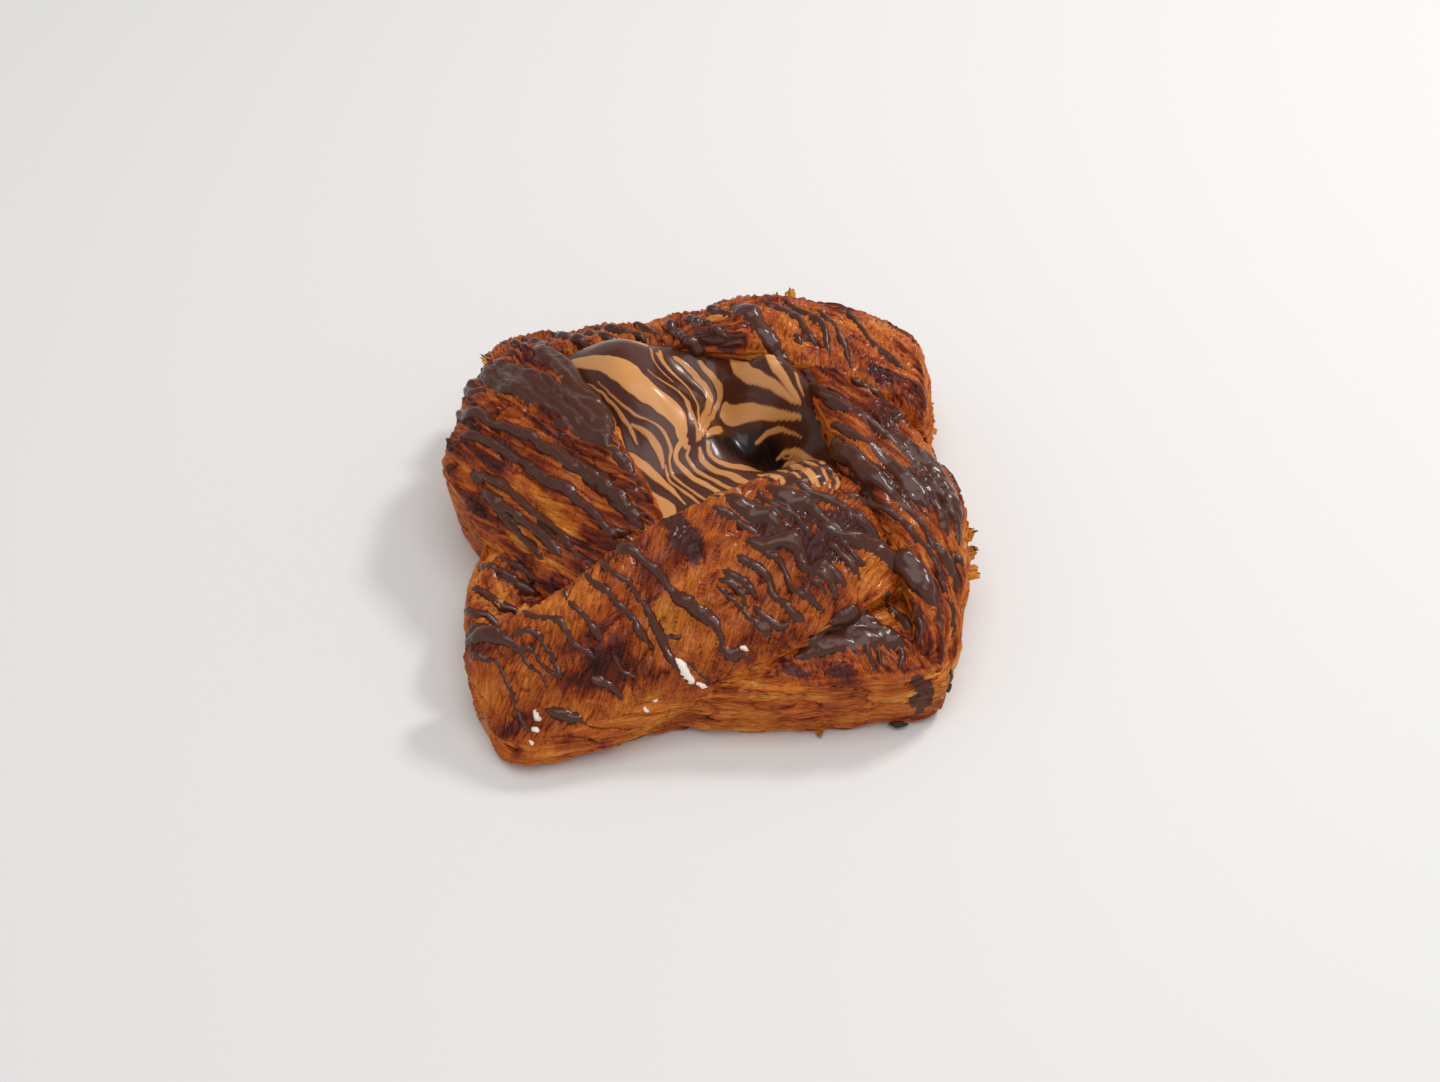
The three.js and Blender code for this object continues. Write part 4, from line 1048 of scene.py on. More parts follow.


# Baked dough: browned by the surface's own height and darkened by painted shade in its hollows, with fibres
# and creases that follow its folds; the creases are darkened as painted shade.
def bakedDough():
    material, nodes, links, shader = newMaterial("baked layers")
    layer = shownNode(nodes, "layer", "Vector")

    def combine(kind, *values, clamp=False):
        return mathNode(nodes, links, kind, *values, clamp=clamp)

    def noise(stretch, scale, detail):
        turned = nodes.new("ShaderNodeMapping")
        turned.inputs["Scale"].default_value = [s * scale for s in stretch]
        cloud = nodes.new("ShaderNodeTexNoise")
        cloud.inputs["Scale"].default_value = 1
        cloud.inputs["Detail"].default_value = detail
        links.new(layer, turned.inputs["Vector"])
        links.new(turned.outputs["Vector"], cloud.inputs["Vector"])
        return cloud.outputs["Fac"]

    def blend(first, second, share):
        return combine("MULTIPLY_ADD", share, combine("SUBTRACT", second, first), first)

    def fibres(scale, detail):
        along, over, walls = (noise(way, scale, detail) for way in bakedLook["fibres"].values())
        onTop = blend(along, over, shownNode(nodes, "fold"))
        return blend(onTop, walls, shownNode(nodes, "wall"))

    coarse, fine = (fibres(*grain) for grain in bakedLook["fibreGrains"])
    freckle = noise(*bakedLook["freckles"])
    count, width = bakedLook["creases"]
    crease = nodes.new("ShaderNodeMapRange")
    crease.interpolation_type = "SMOOTHSTEP"
    crease.inputs["From Max"].default_value = width
    crease.inputs["To Min"].default_value = 1
    crease.inputs["To Max"].default_value = 0
    links.new(combine("PINGPONG", combine("MULTIPLY", coarse, count), 0.5), crease.inputs["Value"])

    darker = bakedLook["darker"]
    shade = combine("MULTIPLY_ADD", coarse, darker["fibres"], shownNode(nodes, "brownAndShade"))
    shade = combine("MULTIPLY_ADD", fine, darker["fine"], shade)
    shade = combine("MULTIPLY_ADD", freckle, darker["freckles"], shade)
    # painted shade in the fine creases
    shade = combine("MULTIPLY_ADD", crease.outputs["Result"], darker["creases"], shade)
    ramp = rampNode(nodes, seenStops(bakedLook["browningAndShade"]), "EASE")
    links.new(combine("SUBTRACT", shade, 0.5, clamp=True), ramp.inputs["Fac"])
    smeared = nodes.new("ShaderNodeMix")
    smeared.data_type = "RGBA"
    smeared.inputs["B"].default_value = (*linear(bakedLook["stain"]), 1)
    stained = combine("MULTIPLY", shownNode(nodes, "stain"), bakedLook["stainShare"])
    links.new(stained, smeared.inputs["Factor"])
    links.new(ramp.outputs["Color"], smeared.inputs["A"])
    links.new(smeared.outputs["Result"], shader.inputs["Base Color"])
    low, high = bakedLook["roughness"]
    links.new(combine("MULTIPLY_ADD", freckle, high - low, low), shader.inputs["Roughness"])
    height = combine("MULTIPLY_ADD", fine, bakedLook["higher"]["fine"], coarse)
    height = combine("MULTIPLY_ADD", crease.outputs["Result"], bakedLook["higher"]["creases"], height)
    bump = nodes.new("ShaderNodeBump")
    bump.inputs["Strength"].default_value = bakedLook["bumpStrength"]
    bump.inputs["Distance"].default_value = bakedLook["bump"]
    links.new(height, bump.inputs["Height"])
    links.new(bump.outputs["Normal"], shader.inputs["Normal"])
    shader.inputs["Specular IOR Level"].default_value = bakedLook["shine"]
    shader.inputs["Coat Weight"].default_value = bakedLook["glaze"]
    shader.inputs["Coat Roughness"].default_value = bakedLook["glazeRoughness"]
    shader.inputs["Subsurface Weight"].default_value = bakedLook["glow"]
    shader.inputs["Subsurface Radius"].default_value = bakedLook["glowReach"]
    shader.inputs["Subsurface Scale"].default_value = bakedLook["glowScale"]
    return material


def plainLook(name):
    look = plainLooks[name]
    material, nodes, links, shader = newMaterial(name)
    coat, coatRoughness = look.get("coat", (0.0, 0.1))
    shader.inputs["Base Color"].default_value = (*linear(look["colour"]), 1)
    shader.inputs["Roughness"].default_value = look["roughness"]
    shader.inputs["Specular IOR Level"].default_value = look["shine"]
    shader.inputs["Coat Weight"].default_value = coat
    shader.inputs["Coat Roughness"].default_value = coatRoughness
    if "bump" in look:
        height, fineness, detail, strength = look["bump"]
        place = nodes.new("ShaderNodeTexCoord")
        noise = nodes.new("ShaderNodeTexNoise")
        noise.inputs["Scale"].default_value = fineness
        noise.inputs["Detail"].default_value = detail
        bump = nodes.new("ShaderNodeBump")
        bump.inputs["Distance"].default_value = height
        bump.inputs["Strength"].default_value = strength
        links.new(place.outputs["Object"], noise.inputs["Vector"])
        links.new(noise.outputs["Fac"], bump.inputs["Height"])
        links.new(bump.outputs["Normal"], shader.inputs["Normal"])
    return material


# Marbling: caramel and dark strokes laid over one another, as x, y and width along each.

marbling = {
    "caramel": [
        [(-31, 28.6, 3), (-27.5, 27, 3.8), (-23.5, 23.9, 4.2), (-19.2, 20.5, 5.9), (-15.8, 16.4, 5.6),
         (-11.8, 13.5, 4.8), (-8.5, 11.6, 4.8), (-6.7, 8.8, 3.1), (-6.4, 6.3, 1.9), (-5.6, 4.8, 1.2)],
        [(-20, 3.7, 1), (-17, 1.8, 1.8), (-14, -0.6, 2.1), (-11.5, -3, 1.9), (-9, -5.6, 1.3),
         (-7.3, -8.2, 0.9), (-5.8, -10.8, 0.5)],
        [(-13.2, -7, 2), (-11.8, -10, 5), (-10.5, -13, 6), (-11.5, -16, 3)],
        [(-5.4, 6, 1), (-7.2, 4.5, 1.1), (-7.7, 2.3, 1.2), (-6.3, 0, 1.2), (-4, -2.2, 1.4),
         (-1.5, -4.3, 1.5), (1, -6.7, 1.3), (3.7, -9.5, 1)],
        [(3.3, 20.3, 2.4), (5, 18.1, 5.4), (8, 17, 4.8), (11.5, 16, 3.4), (15, 15.4, 2.2), (19.5, 15.1, 1)],
        [(5.6, 34, 3), (6.2, 28.4, 3.2), (7.6, 24.4, 3), (11, 21.2, 2.5), (14.5, 19, 1.7), (17.5, 17.5, 1),
         (19.5, 17, 0.4)],
        [(13, 29, 2.2), (13, 26, 2), (13.8, 23.5, 2.1), (16, 20.7, 2), (18, 18.7, 1.4), (19.5, 17.3, 0.4)],
        [(-28, 33.5, 1.6), (-24, 35.4, 2.6), (-19, 35.8, 2.6), (-14.5, 34.8, 1.4)],
        [(14.5, 8.5, 0.5), (16.5, 10, 1), (19, 10, 1.3), (21.5, 8.3, 1.3), (23, 5.5, 1.4), (23.8, 2, 1.7),
         (24, -1, 2), (23.5, -4.5, 1.4)],
        [(15.8, 7, 0.5), (17.5, 8.3, 1), (19.2, 7.3, 1.2), (19.6, 4.5, 1.3), (18.8, 2, 1.2),
         (17.8, 0.6, 0.5)],
    ],
    "dark": [
        [(-18.5, -1.2, 1.2), (-15, -4.3, 2), (-11.5, -6.6, 2.2), (-8.5, -9.2, 2), (-6, -12, 1.4)],
        [(3, 23, 0.8), (5, 20.6, 1.3), (8, 18.9, 1.3), (12, 17.2, 1.2), (16, 16.3, 0.9), (20, 15.9, 0.6)],
    ],
    "thin": [
        [(-27.5, 20.5, 0.3), (-22, 14.3, 0.5), (-19.5, 10.6, 0.6), (-17.2, 7.3, 0.6), (-16.2, 4.7, 0.3)],
        [(-25, 19.5, 0.2), (-20.5, 14, 0.35), (-17, 10.7, 0.4), (-13.5, 9, 0.3), (-11, 7.6, 0.5),
         (-9.4, 5.6, 0.7), (-8.9, 3.6, 0.7), (-9.1, 1.2, 0.5), (-8.6, -1.6, 0.5), (-6.3, -4.2, 0.5),
         (-3.5, -7.2, 0.6), (-0.5, -10.4, 0.4)],
        [(-17.3, 8.8, 0.4), (-14.2, 6.7, 0.9), (-12, 4.2, 1.3), (-10.9, 2, 1), (-10.5, -0.3, 0.4)],
        [(-10, 0.2, 0.3), (-9.4, -2.6, 0.5), (-7.3, -5.3, 0.5), (-4.4, -8.3, 0.6), (-2.4, -10.8, 0.4)],
        [(-4.8, 4.9, 0.4), (-5.3, 2.6, 0.5), (-4, 0.5, 0.6), (-1.5, -1.4, 0.8), (1, -3.3, 0.9),
         (3, -5.1, 1), (5.3, -7.2, 0.8)],
        [(-2.6, 5, 0.5), (-2.4, 3, 0.8), (-1, 1.2, 1), (1.5, -0.4, 1.2), (4, -1.3, 1.6), (6, -3, 1.6),
         (8, -4.6, 0.9)],
        [(-0.8, 6.6, 0.6), (-0.6, 4.6, 0.8), (1, 2.8, 0.9), (4, 1.7, 1.2), (7, 1.4, 1.8), (10, 1.6, 2.4)],
        [(-3, 6.5, 0.4), (-3.3, 10, 0.5), (-4.1, 13, 0.5), (-5.6, 16.8, 0.6), (-7.4, 18.6, 0.5),
         (-11.5, 20.5, 0.3)],
        [(-2.5, 7, 0.6), (-2.2, 11, 0.8), (-1.4, 15, 0.9), (-0.5, 20, 1.1), (-0.6, 23.5, 1.3),
         (-3, 27.3, 1.4), (-5.5, 30.5, 1.3), (-8, 33.5, 1)],
        [(-1.8, 8, 0.5), (-1, 12, 0.8), (0, 16, 0.7), (1, 20, 0.8), (1.9, 24, 1.1), (0.8, 27.5, 1.2),
         (-1, 30.2, 1.2), (-2.6, 33, 0.9)],
        [(-0.8, 8, 0.4), (0.6, 10.6, 1.6), (1.6, 12.6, 1.4), (2, 14.5, 0.4)],
        [(-12, 33, 0.6), (-10, 28.6, 0.8), (-8, 25.6, 0.7), (-5.2, 22.6, 0.5), (-4, 19.8, 0.5),
         (-2.9, 16, 0.4), (-2.7, 11, 0.4)],
        [(10, 10.4, 0.6), (12, 12, 0.8), (14.5, 13, 0.7), (17, 13.1, 0.5), (20, 12.3, 0.3)],
        [(-11.5, 34.5, 0.7), (-10.6, 29.5, 0.8), (-8.6, 26.4, 0.6), (-6.2, 23.6, 0.4)],
        [(-14, 22, 0.25), (-12.4, 20.6, 0.35), (-9, 19.1, 0.35), (-6.6, 18.3, 0.4), (-5.4, 15.5, 0.4),
         (-4.2, 11, 0.4)],
        [(-13.4, 34, 0.4), (-12.8, 28.6, 0.45), (-11, 24.8, 0.35), (-8.4, 22, 0.3)],
        [(16, 8.9, 0.2), (18.5, 9.1, 0.4), (20.5, 7.5, 0.4), (21.6, 4.5, 0.5), (21.2, 1.5, 0.5),
         (19.5, -0.2, 0.3)],
        [(16.5, -1, 0.5), (18, -3.5, 1), (20, -6, 1), (22, -8.5, 0.9)],
        [(19.5, -2.5, 0.4), (21.5, -5, 0.6), (24, -7.6, 0.6)],
        [(10, -1.8, 0.6), (12.5, -3, 1.3), (14.5, -5.2, 1), (16, -7.2, 0.5)],
        [(14, -1.8, 0.3), (16, -3.6, 0.5), (18, -6.6, 0.5)],
        [(18.4, 22.5, 0.6), (19.4, 20, 0.6), (20.4, 18.3, 0.3)],
    ],
    # where the marbling runs over the front strap: its places, then its strokes
    "lip": {
        "places": [
            [(9, -10.6, 3), (14, -11.4, 5), (19.5, -11.8, 6.6), (25, -11.6, 7)],
            [(13, -8.5, 4), (19, -8, 5), (26, -8.5, 6)],
            [(0.6, -15.6, 1.6), (2.6, -18, 1.4)],
            [(4.8, -14.2, 1.6), (6.2, -17, 1.3)],
        ],
        "caramel": [
            [(11, -9, 1.6), (12.5, -11, 1.9), (14.6, -14, 1.5)],
            [(18, -7.5, 1.6), (20, -11, 1.9), (22.2, -14.7, 1.5)],
            [(1, -16, 1), (3.5, -19, 1)],
            [(5, -15, 1), (6.5, -18, 1)],
        ],
        "dark": [],
        "thin": [
            [(15.2, -8.6, 0.6), (16.6, -10.6, 0.8), (18.2, -13, 0.6)],
            [(22.6, -8, 0.5), (23.6, -11, 0.7), (24.6, -13.8, 0.5)],
            [(25, -8.6, 0.6), (26.5, -12, 0.8), (25.7, -14.3, 0.6)],
            [(8.4, -9.6, 0.5), (10.4, -12.6, 0.6)],
        ],
    },
    "spread": {"caramel": 1.0, "dark": 1.0, "thin": 1.3},
    # colours of the marbling; the stop at 0 is painted shade, reached only deep in the pit
    "colours": [
        (0.0, (24, 9, 6)), (0.2, (74, 37, 23)), (0.45, (104, 52, 26)), (0.65, (170, 106, 54)),
        (1.0, (206, 144, 84)),
    ],
    # the value of the dark strokes, and a stroke of painted shade deep in the pit
    "darkAndPitShade": (0.2, [(3, 9, 4), (8, 8.5, 7), (13, 7.5, 7), (15, 3, 4)]),  # deep in the pit
    "thinness": 0.9,  # colour of the thin caramel strokes, where the broad ones have 1
    "edge": 0.16,
    "warp": (0.22, 2.6),
    "warpSeeds": (61, 62),
    # painted shade in the pit: how far it reaches, and where it starts and ends
    "pitShadeEdge": (4.0, -3.0, 1.5),  # how far the pit's darkness reaches, and where it starts and ends
    "roughness": 0.26,
    "shine": 0.26,
    "coat": (0.16, 0.06),
}


def marbledCream():
    material, nodes, links, shader = newMaterial("marbled caramel")
    ramp = rampNode(nodes, seenStops(marbling["colours"]))
    links.new(shownNode(nodes, "caramel"), ramp.inputs["Fac"])
    links.new(ramp.outputs["Color"], shader.inputs["Base Color"])
    coat, coatRoughness = marbling["coat"]
    shader.inputs["Roughness"].default_value = marbling["roughness"]
    shader.inputs["Specular IOR Level"].default_value = marbling["shine"]
    shader.inputs["Coat Weight"].default_value = coat
    shader.inputs["Coat Roughness"].default_value = coatRoughness
    return material


# Share of caramel at each place of the marbling, from the strokes of the filling or the lip, over a painted
# shade that darkens the pit.
def caramelShare(x, y, strokes):
    reach, size = marbling["warp"]
    seedX, seedY = marbling["warpSeeds"]
    strokeX = x + reach * softNoise(x / size, y / size, seedX)
    strokeY = y + reach * softNoise(x / size, y / size, seedY)
    dark, pitShade = marbling["darkAndPitShade"]
    pad, start, end = marbling["pitShadeEdge"]
    # painted shade in the pit, below the dark strokes' value
    value = dark * (1 - smoothStep(-gapTo(x, y, pitShade, pad), start, end))
    for key, aim in (("caramel", 1.0), ("dark", dark), ("thin", marbling["thinness"])):
        for stroke in strokes[key]:
            wider = np.array(stroke) * (1, 1, marbling["spread"][key])
            gap = gapTo(strokeX, strokeY, wider)
            value += (aim - value) * smoothStep(-gap, -marbling["edge"], marbling["edge"])
    return value


# The filling, with low waves that follow its marbling

filling = {
    "rim": [
        (-35, 27), (-24, 35.5), (-8, 36.5), (8, 35), (22, 25.5), (28, 10), (28.5, -5), (20, -9), (6, -10),
        (-8, -19), (-16, -15), (-19, 0), (-26, 14),
    ],
    "level": 25.5,  # height of the top without its swells
    "floor": 13,  # and of the hidden underside
    # x, y, height, radius along, radius over and turn of each swell
    "swells": [
        (-18, 20, 10, 18, 10, -45), (14, 22, 8.5, 10, 6.5, -20), (23, -5, 6, 8, 4, -30),
        (17, 8, -8.5, 8, 6, 10), (3, 17, -4, 9, 4, -70), (-2, 0, -2, 12, 8, 20),
    ],
    # what is added to the solid's form: a fuller back and a deeper pit
    "fuller": [
        (-19, 30, 4.4, 9, 6.5, 0), (-4, 33, 4.6, 9, 6, 0), (12, 23.5, 3.2, 9, 6, -20),
        (14, 7.5, -3.4, 7, 5, 10),
    ],
    "sight": 0.94,  # how far a raised place looks moved back, for each millimetre of rise
    "columns": 530,
    "rings": 104,
    "closer": 0.85,  # less than 1 sets the rings closer towards the rim
    "ends": ([0.05, 0.9], [0.004]),  # rings of the hidden underside, and the one at the middle
    "relief": (0.16, 0.1),  # how high the caramel stands, and over which share it starts at the rim
    "waves": [(0.3, 6, 63)],
}


# The sum of round swells and dips, each with its x, y, height, radii and turn.
def swellsAt(x, y, swells):
    top = np.zeros(np.shape(x))
    for swellX, swellY, height, along, over, degrees in swells:
        turn = math.radians(degrees)
        p = ((x - swellX) * math.cos(turn) + (y - swellY) * math.sin(turn)) / along
        q = (-(x - swellX) * math.sin(turn) + (y - swellY) * math.cos(turn)) / over
        top = top + height * np.exp(-(p * p + q * q))
    return top


def buildFilling(material):
    columns, rings = filling["columns"], filling["rings"]
    hub = np.mean(filling["rim"], axis=0)
    rimPlaces = [(a, b, 0) for a, b in filling["rim"]]
    rim = curveThrough(rimPlaces, np.arange(columns) / columns, closed=True)[:, :2] - hub
    under, middle = filling["ends"]
    share = np.concatenate([under, (np.arange(rings, 0, -1) / rings) ** filling["closer"], middle])
    plan = hub + rim[None] * share[:, None, None]
    x, y = plan[..., 0], plan[..., 1]
    fuller = swellsAt(x, y, filling["fuller"])
    top = filling["level"] + swellsAt(x, y, filling["swells"]) + fuller
    colour = caramelShare(x, y + filling["sight"] * fuller, marbling)
    tall, start = filling["relief"]
    top = top + tall * (colour - 0.5) * smoothStep(1 - share, 0, start)[:, None]
    top = top + layeredNoise(x, y, filling["waves"])
    top[:len(under)] = filling["floor"]
    grid = np.dstack([x, y, top])
    points, quads, triangles, shown = closeWithHub(grid, {"caramel": colour})
    return makeMesh("marbled_filling", material, points, quads, triangles, shown)


# Loose flakes at the edges, and burnt bits

flakes = {
    # root, heading in degrees, length, width and how far the tip lifts
    "sheets": [
        ((53.4, -13.2, 17), 8, 3.6, 4.4, 2.0), ((53.8, -16.4, 15), -2, 3.8, 6.0, 1.4),
        ((53.6, -19.8, 13.4), -8, 3.6, 5.0, 0.6), ((-42.5, 28.6, 27), 128, 5.0, 3.6, 1.2),
        ((51.2, -11, 19), 30, 2.6, 2.0, 1.4), ((18, 51, 28), 85, 4.2, 3.2, 1.8),
        ((15.4, 51.4, 28.4), 100, 3.0, 2.2, 1.2), ((21, 51.6, 26.6), 70, 3.0, 2.0, 0.6),
        ((-49.5, 37.5, 22), 150, 4.2, 3.0, 0.8), ((-52, 12, 22), 172, 3.8, 3.0, 0.5),
        ((-53, 20, 21.5), 160, 3.0, 2.4, 0.9), ((22, -51.5, 1.6), -95, 3.0, 2.2, -0.6),
        ((50, 33, 13), -10, 2.2, 2.4, 0.6), ((51, 27, 11), 5, 1.8, 2.2, -0.4),
        ((-38.5, -39.6, 22.6), 62, 3.0, 3.2, 0.5), ((-44.5, -30, 16.4), 50, 2.6, 2.0, 1.0),
    ],
    # centre and half sizes of each burnt bit
    "burnt": [
        ((48.6, -45.3, 9.2), (0.9, 0.8, 2.4)), ((48.8, -45.6, 6.2), (0.8, 0.7, 1.6)),
        ((38.4, -51.2, 1.2), (1.9, 0.9, 0.8)), ((-22.6, -56.6, 1.2), (0.9, 0.8, 0.6)),
    ],
    "thickness": 0.5,
    "tipThinner": 0.6,  # how much thinner a flake is at its tip
    "cells": 12,
    "rooted": 1.0,  # how deep a flake sits in the dough
    "least": 0.6,  # lowest that a flake hangs over the ground
    "narrower": 0.35,
    "curl": 0.35,
    "ragged": (0.5, 2.6, 3.3, 81),  # how much, how fine, how unlike the next flake, and the seed
    "sides": (0.3, 3, 1, 82),  # how much, and how fine along and over
    "ripples": (0.45, 2.4, 1.7, 83),
    "browns": (0.06, 0.05, 4),  # the palest, the step to the next, and how many there are
    "burntGrid": (18, 26),
    "burntHole": 0.12,  # where a burnt bit's rings start, in radians from its top
    # how much, how fine sideways and upwards, how unlike the next bit, and the seed
    "burntLumps": (0.35, 1.7, 1.3, 5, 84),
    "burntLeast": 0.05,
}


def flakeBody(number, root, heading, length, width, lift):
    cells = flakes["cells"]
    t, u = np.meshgrid(np.linspace(0, 1, cells), np.linspace(-1, 1, cells), indexing="ij")

    def wave(key):
        size, along, over, seed = flakes[key]
        return size * softNoise(t * along + number, u * over, seed)

    size, fineness, unlike, seed = flakes["ragged"]
    ragged = size * softNoise(u * fineness + number, np.full(u.shape, number * unlike), seed)
    out = length * t * (1 + ragged * t) - flakes["rooted"]
    side = 0.5 * width * u * (1 - flakes["narrower"] * t ** 2 + wave("sides"))
    rise = lift * t ** 1.5 + wave("ripples") - flakes["curl"] * u * u
    turn = math.radians(heading)
    x = root[0] + out * math.cos(turn) - side * math.sin(turn)
    y = root[1] + out * math.sin(turn) + side * math.cos(turn)
    top = np.dstack([x, y, np.maximum(root[2] + rise, flakes["least"])])
    thick = flakes["thickness"] * (1 - flakes["tipThinner"] * t)
    under = top - np.dstack([0 * thick, 0 * thick, thick])
    return closeWithHub(np.concatenate([top, under[:, ::-1]], axis=1), {})[:3]


def buildFlakes(material):
    bodies = [flakeBody(n, *sheet) for n, sheet in enumerate(flakes["sheets"])]
    palest, step, kinds = flakes["browns"]
    browns = [np.full(len(body[0]), palest + step * (n % kinds)) for n, body in enumerate(bodies)]
    points = np.vstack([body[0] for body in bodies])
    none = np.zeros(len(points))
    shown = {"brownAndShade": np.concatenate(browns), "layer": points}
    shown.update({key: none for key in ("stain", "fold", "wall")})
    return joinBodies("loose_flakes", material, bodies, shown)


def burntBody(number, centre, sizes):
    rows, columns = flakes["burntGrid"]
    hole = flakes["burntHole"]
    around = np.arange(columns) / columns * 2 * math.pi
    a, b = np.meshgrid(np.linspace(hole, math.pi - hole, rows), around, indexing="ij")
    x, y, z = np.sin(a) * np.cos(b), np.sin(a) * np.sin(b), np.cos(a)
    size, fineness, upward, unlike, seed = flakes["burntLumps"]
    lumps = 1 + size * softNoise(x * fineness + number * unlike, y * fineness + z * upward, seed)
    ball = np.dstack([x, y, z]) * lumps[..., None] * sizes + centre
    ball[..., 2] = np.maximum(ball[..., 2], flakes["burntLeast"])
    return closeWithHub(ball, {})[:3]


def buildBurnt(material):
    bodies = [burntBody(n, *bit) for n, bit in enumerate(flakes["burnt"])]
    return joinBodies("burnt_bits", material, bodies)


# Build the pieces

baked = bakedDough()
chocolate = plainLook("dark chocolate")
sugar = plainLook("set sugar")
burnt = plainLook("burnt crumbs")
cream = marbledCream()
topMap = TopMap()
doughGrids = []
coatBases = []

# The plain form of each dough piece, and a finer one that its chocolate lies on
for name, way in foldWays.items():
    if name == "block":
        pieceName, ground = name, 0
        rings, along, over = blockRings(*block["grid"])
        fine, fineAlong, fineOver = blockRings(*block["coatGrid"])
    else:
        pieceName, ground = name + "_strap", strapForm["clear"]
        rings, along, over = strapRings(name, strapForm["grain"])
        rings = roundEnds(rings)
        fine, fineAlong, fineOver = strapRings(name, drizzle["grain"])
    normal, base, total, shown = doughSurface(rings, along, over, *way)
    topMap.add(rings + normal * base[..., None])
    doughGrids.append((pieceName, rings, normal, total, shown, ground))
    normal, base, _, _ = doughSurface(fine, fineAlong, fineOver, *way)
    coatBases.append((name, fine + normal * base[..., None], normal))
topMap.close()

# The lines of chocolate, smears, sugar and lip, laid on the dough
lines = []
for key, wider in drizzle["wider"].items():
    for line in drizzle[key]:
        lines.append(linePlaces(np.array(line) * (1, 1, wider), len(lines), topMap))
smears = numberedLines(drizzle["smears"], drizzle["firstSmear"], topMap, True)
half, tall = drizzle["wallSmear"]
smears.append(np.array([(x, y, z, half * width, tall) for x, y, z, width in drizzle["wallSmears"]]))
icing = numberedLines(drizzle["icing"], drizzle["firstIcing"], topMap)
lip = numberedLines(marbling["lip"]["places"], drizzle["firstLip"], topMap, True)
print("lines", len(lines), "smears", len(smears))

# The dough with its relief, browning, painted shade and stains
for name, rings, normal, total, shown, ground in doughGrids:
    surface = rings + normal * total[..., None]
    surface[..., 2] = np.maximum(surface[..., 2], ground)
    shown["brownAndShade"] = shown["brownAndShade"] + toneOf(rings, topMap.at(rings[..., 0], rings[..., 1]))
    shown["stain"] = stainOf(rings, smears)
    points, quads, triangles, shown = closeWithHub(surface, shown)
    piece = makeMesh(name, baked, points, quads, triangles, shown)
    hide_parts("pastry")
    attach(piece, "root")
    print("dough", name, len(points))

# Chocolate and sugar on each piece, and the marbled lip on the front strap
for name, grid, normal in coatBases:
    x, y = grid[..., 0], grid[..., 1]
    depth = chocolateDepth(grid, lines)
    rippled = smoothStep(depth, *drizzle["rippleDepth"])
    depth = depth + layeredNoise(x, y, drizzle["ripples"]) * rippled
    piece = coatShell("chocolate_on_" + name, chocolate, grid, normal, depth)
    if piece:
        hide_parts("pastry")
        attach(piece, "root")
        print("chocolate on", name, len(piece.data.polygons))
    piece = coatShell("icing_on_" + name, sugar, grid, normal, chocolateDepth(grid, icing))
    if piece:
        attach(piece, "root")
    if name == "front":
        marbled = {"caramel": caramelShare(x, y, marbling["lip"])}
        piece = coatShell("marbled_lip", cream, grid, normal, chocolateDepth(grid, lip), marbled)
        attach(piece, "root")

fillingPiece = buildFilling(cream)
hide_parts("filling")
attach(fillingPiece, "root")
print("filling done")

for piece in (buildFlakes(baked), buildBurnt(burnt)):
    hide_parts("pastry")
    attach(piece, "root")
print("flakes and burnt bits done")

# Floor, light and camera

roomLight = {
    # height of the sky from the horizon up, and its brightness there
    "brightness": [(0.0, 0.82), (0.35, 0.82), (0.68, 0.46), (1.0, 0.5)],
    "back": 0.72,  # share of it on the far side
    "turnToBack": (-0.8, 0.5),  # where it starts to fall to that share, and where it has
    "tint": (0.97, 0.985, 1.0),
    "windowSpot": (0.42, 0.36, 0.62),
    "windowSize": (0.15, 0.12),
    "windowPower": 2.6,
    "windowColour": (1.0, 0.985, 0.96),
    "skySpot": (0.06, -0.14, 0.95),
    "skySize": (0.8, 0.8),
    "skyPower": 4.0,
    "skyColour": (1, 1, 1),
}

view = {
    "spot": (0.0, -307.473, 328.573),  # camera in the drawing
    "lookDown": 46.7,
    "turn": 0.3354,
    "lens": 50,
}

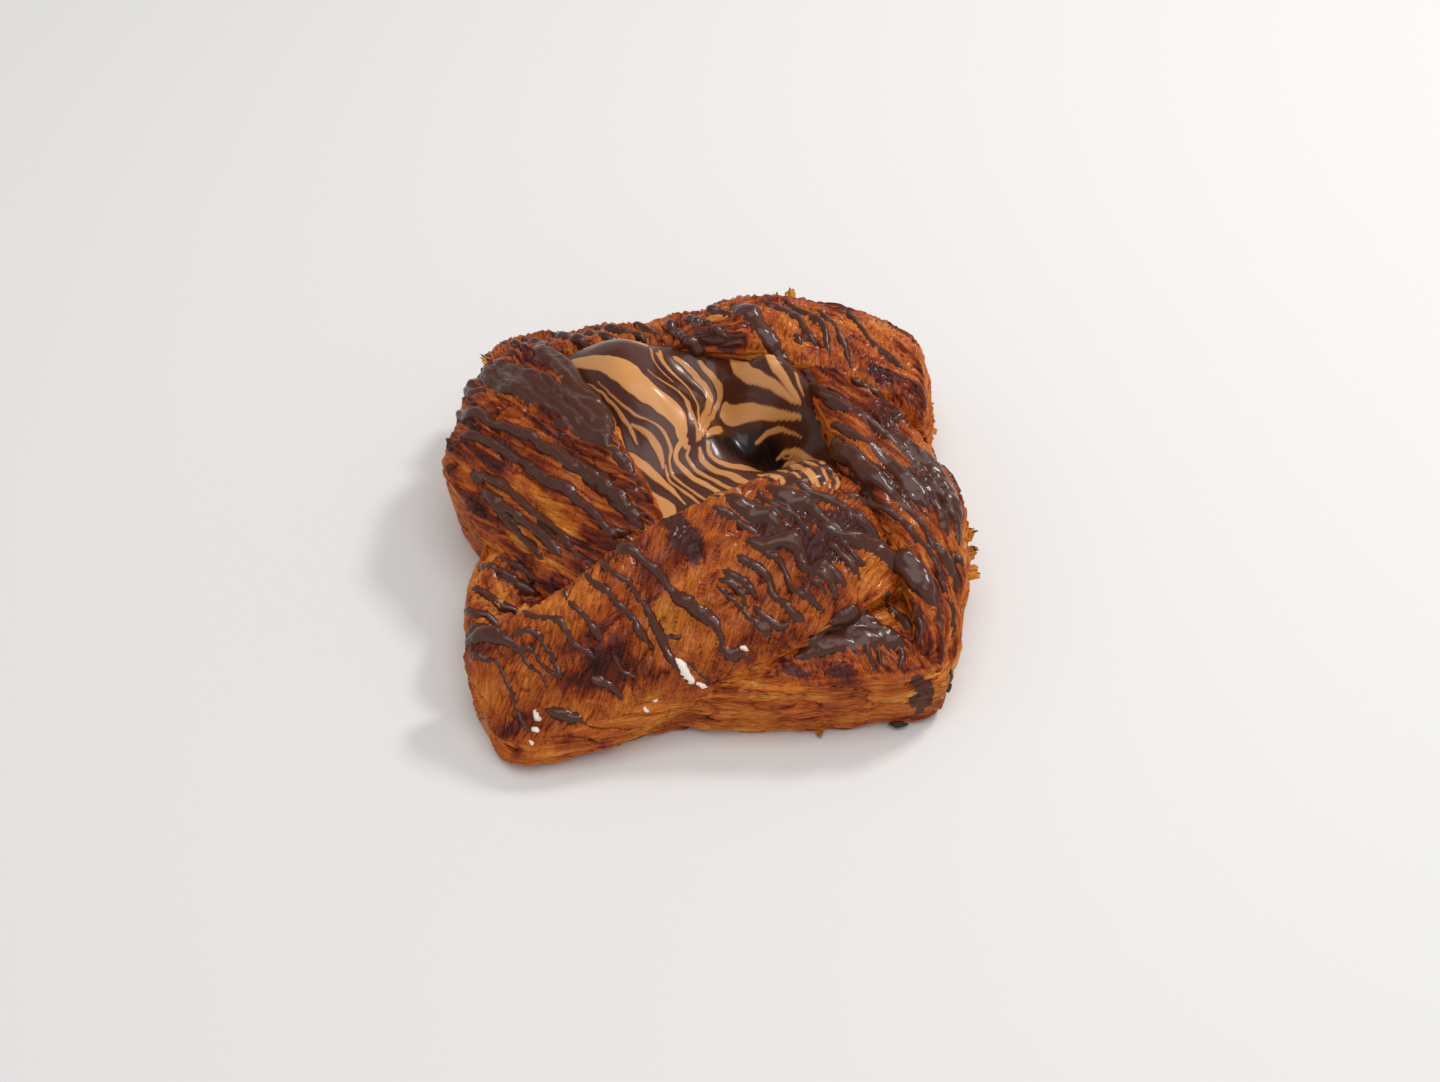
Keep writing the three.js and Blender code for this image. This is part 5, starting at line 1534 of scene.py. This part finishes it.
floorSize = 6
floorDrop = 0.0002  # how far the floor lies under the pastry, in metres

bpy.ops.mesh.primitive_plane_add(size=floorSize, location=(0, 0, -floorDrop))
floor = bpy.context.object
floor.name = "pale floor"
floor.data.materials.append(plainLook("pale floor"))

world = bpy.data.worlds.new("white room")
bpy.context.scene.world = world
world.use_nodes = True
air = world.node_tree.nodes
joins = world.node_tree.links
direction = air.new("ShaderNodeSeparateXYZ")
joins.new(air.new("ShaderNodeTexCoord").outputs["Generated"], direction.inputs[0])
tint = np.array(roomLight["tint"])
heights = rampNode(air, [(place, level * tint) for place, level in roomLight["brightness"]])
joins.new(direction.outputs["Z"], heights.inputs["Fac"])
side = air.new("ShaderNodeMapRange")
start, end = roomLight["turnToBack"]
side.inputs["From Min"].default_value = start
side.inputs["From Max"].default_value = end
side.inputs["To Min"].default_value = 1
side.inputs["To Max"].default_value = roomLight["back"]
joins.new(direction.outputs["Y"], side.inputs["Value"])
joins.new(heights.outputs["Color"], air["Background"].inputs["Color"])
joins.new(side.outputs["Result"], air["Background"].inputs["Strength"])


# A soft lamp at its spot, turned to the pastry.
def softLight(name):
    data = bpy.data.lights.new(name, "AREA")
    data.shape = "RECTANGLE"
    data.size, data.size_y = roomLight[name + "Size"]
    data.energy = roomLight[name + "Power"]
    data.color = roomLight[name + "Colour"]
    lamp = bpy.data.objects.new(name, data)
    spot = roomLight[name + "Spot"]
    lamp.location = spot
    away = np.array(spot) / np.linalg.norm(spot)
    lamp.rotation_euler = (math.acos(away[2]), 0, math.atan2(away[1], away[0]) + math.pi / 2)
    bpy.context.scene.collection.objects.link(lamp)


softLight("window")
softLight("sky")
print("floor and light done")

camera = bpy.data.objects.new("camera", bpy.data.cameras.new("camera"))
camera.data.lens = view["lens"]
camera.location = (np.array(view["spot"]) - drawingMiddle) * mm
camera.rotation_euler = (math.radians(90 - view["lookDown"]), 0, math.radians(-view["turn"]))
bpy.context.scene.collection.objects.link(camera)
bpy.context.scene.camera = camera
bpy.context.scene.view_settings.view_transform = "Standard"
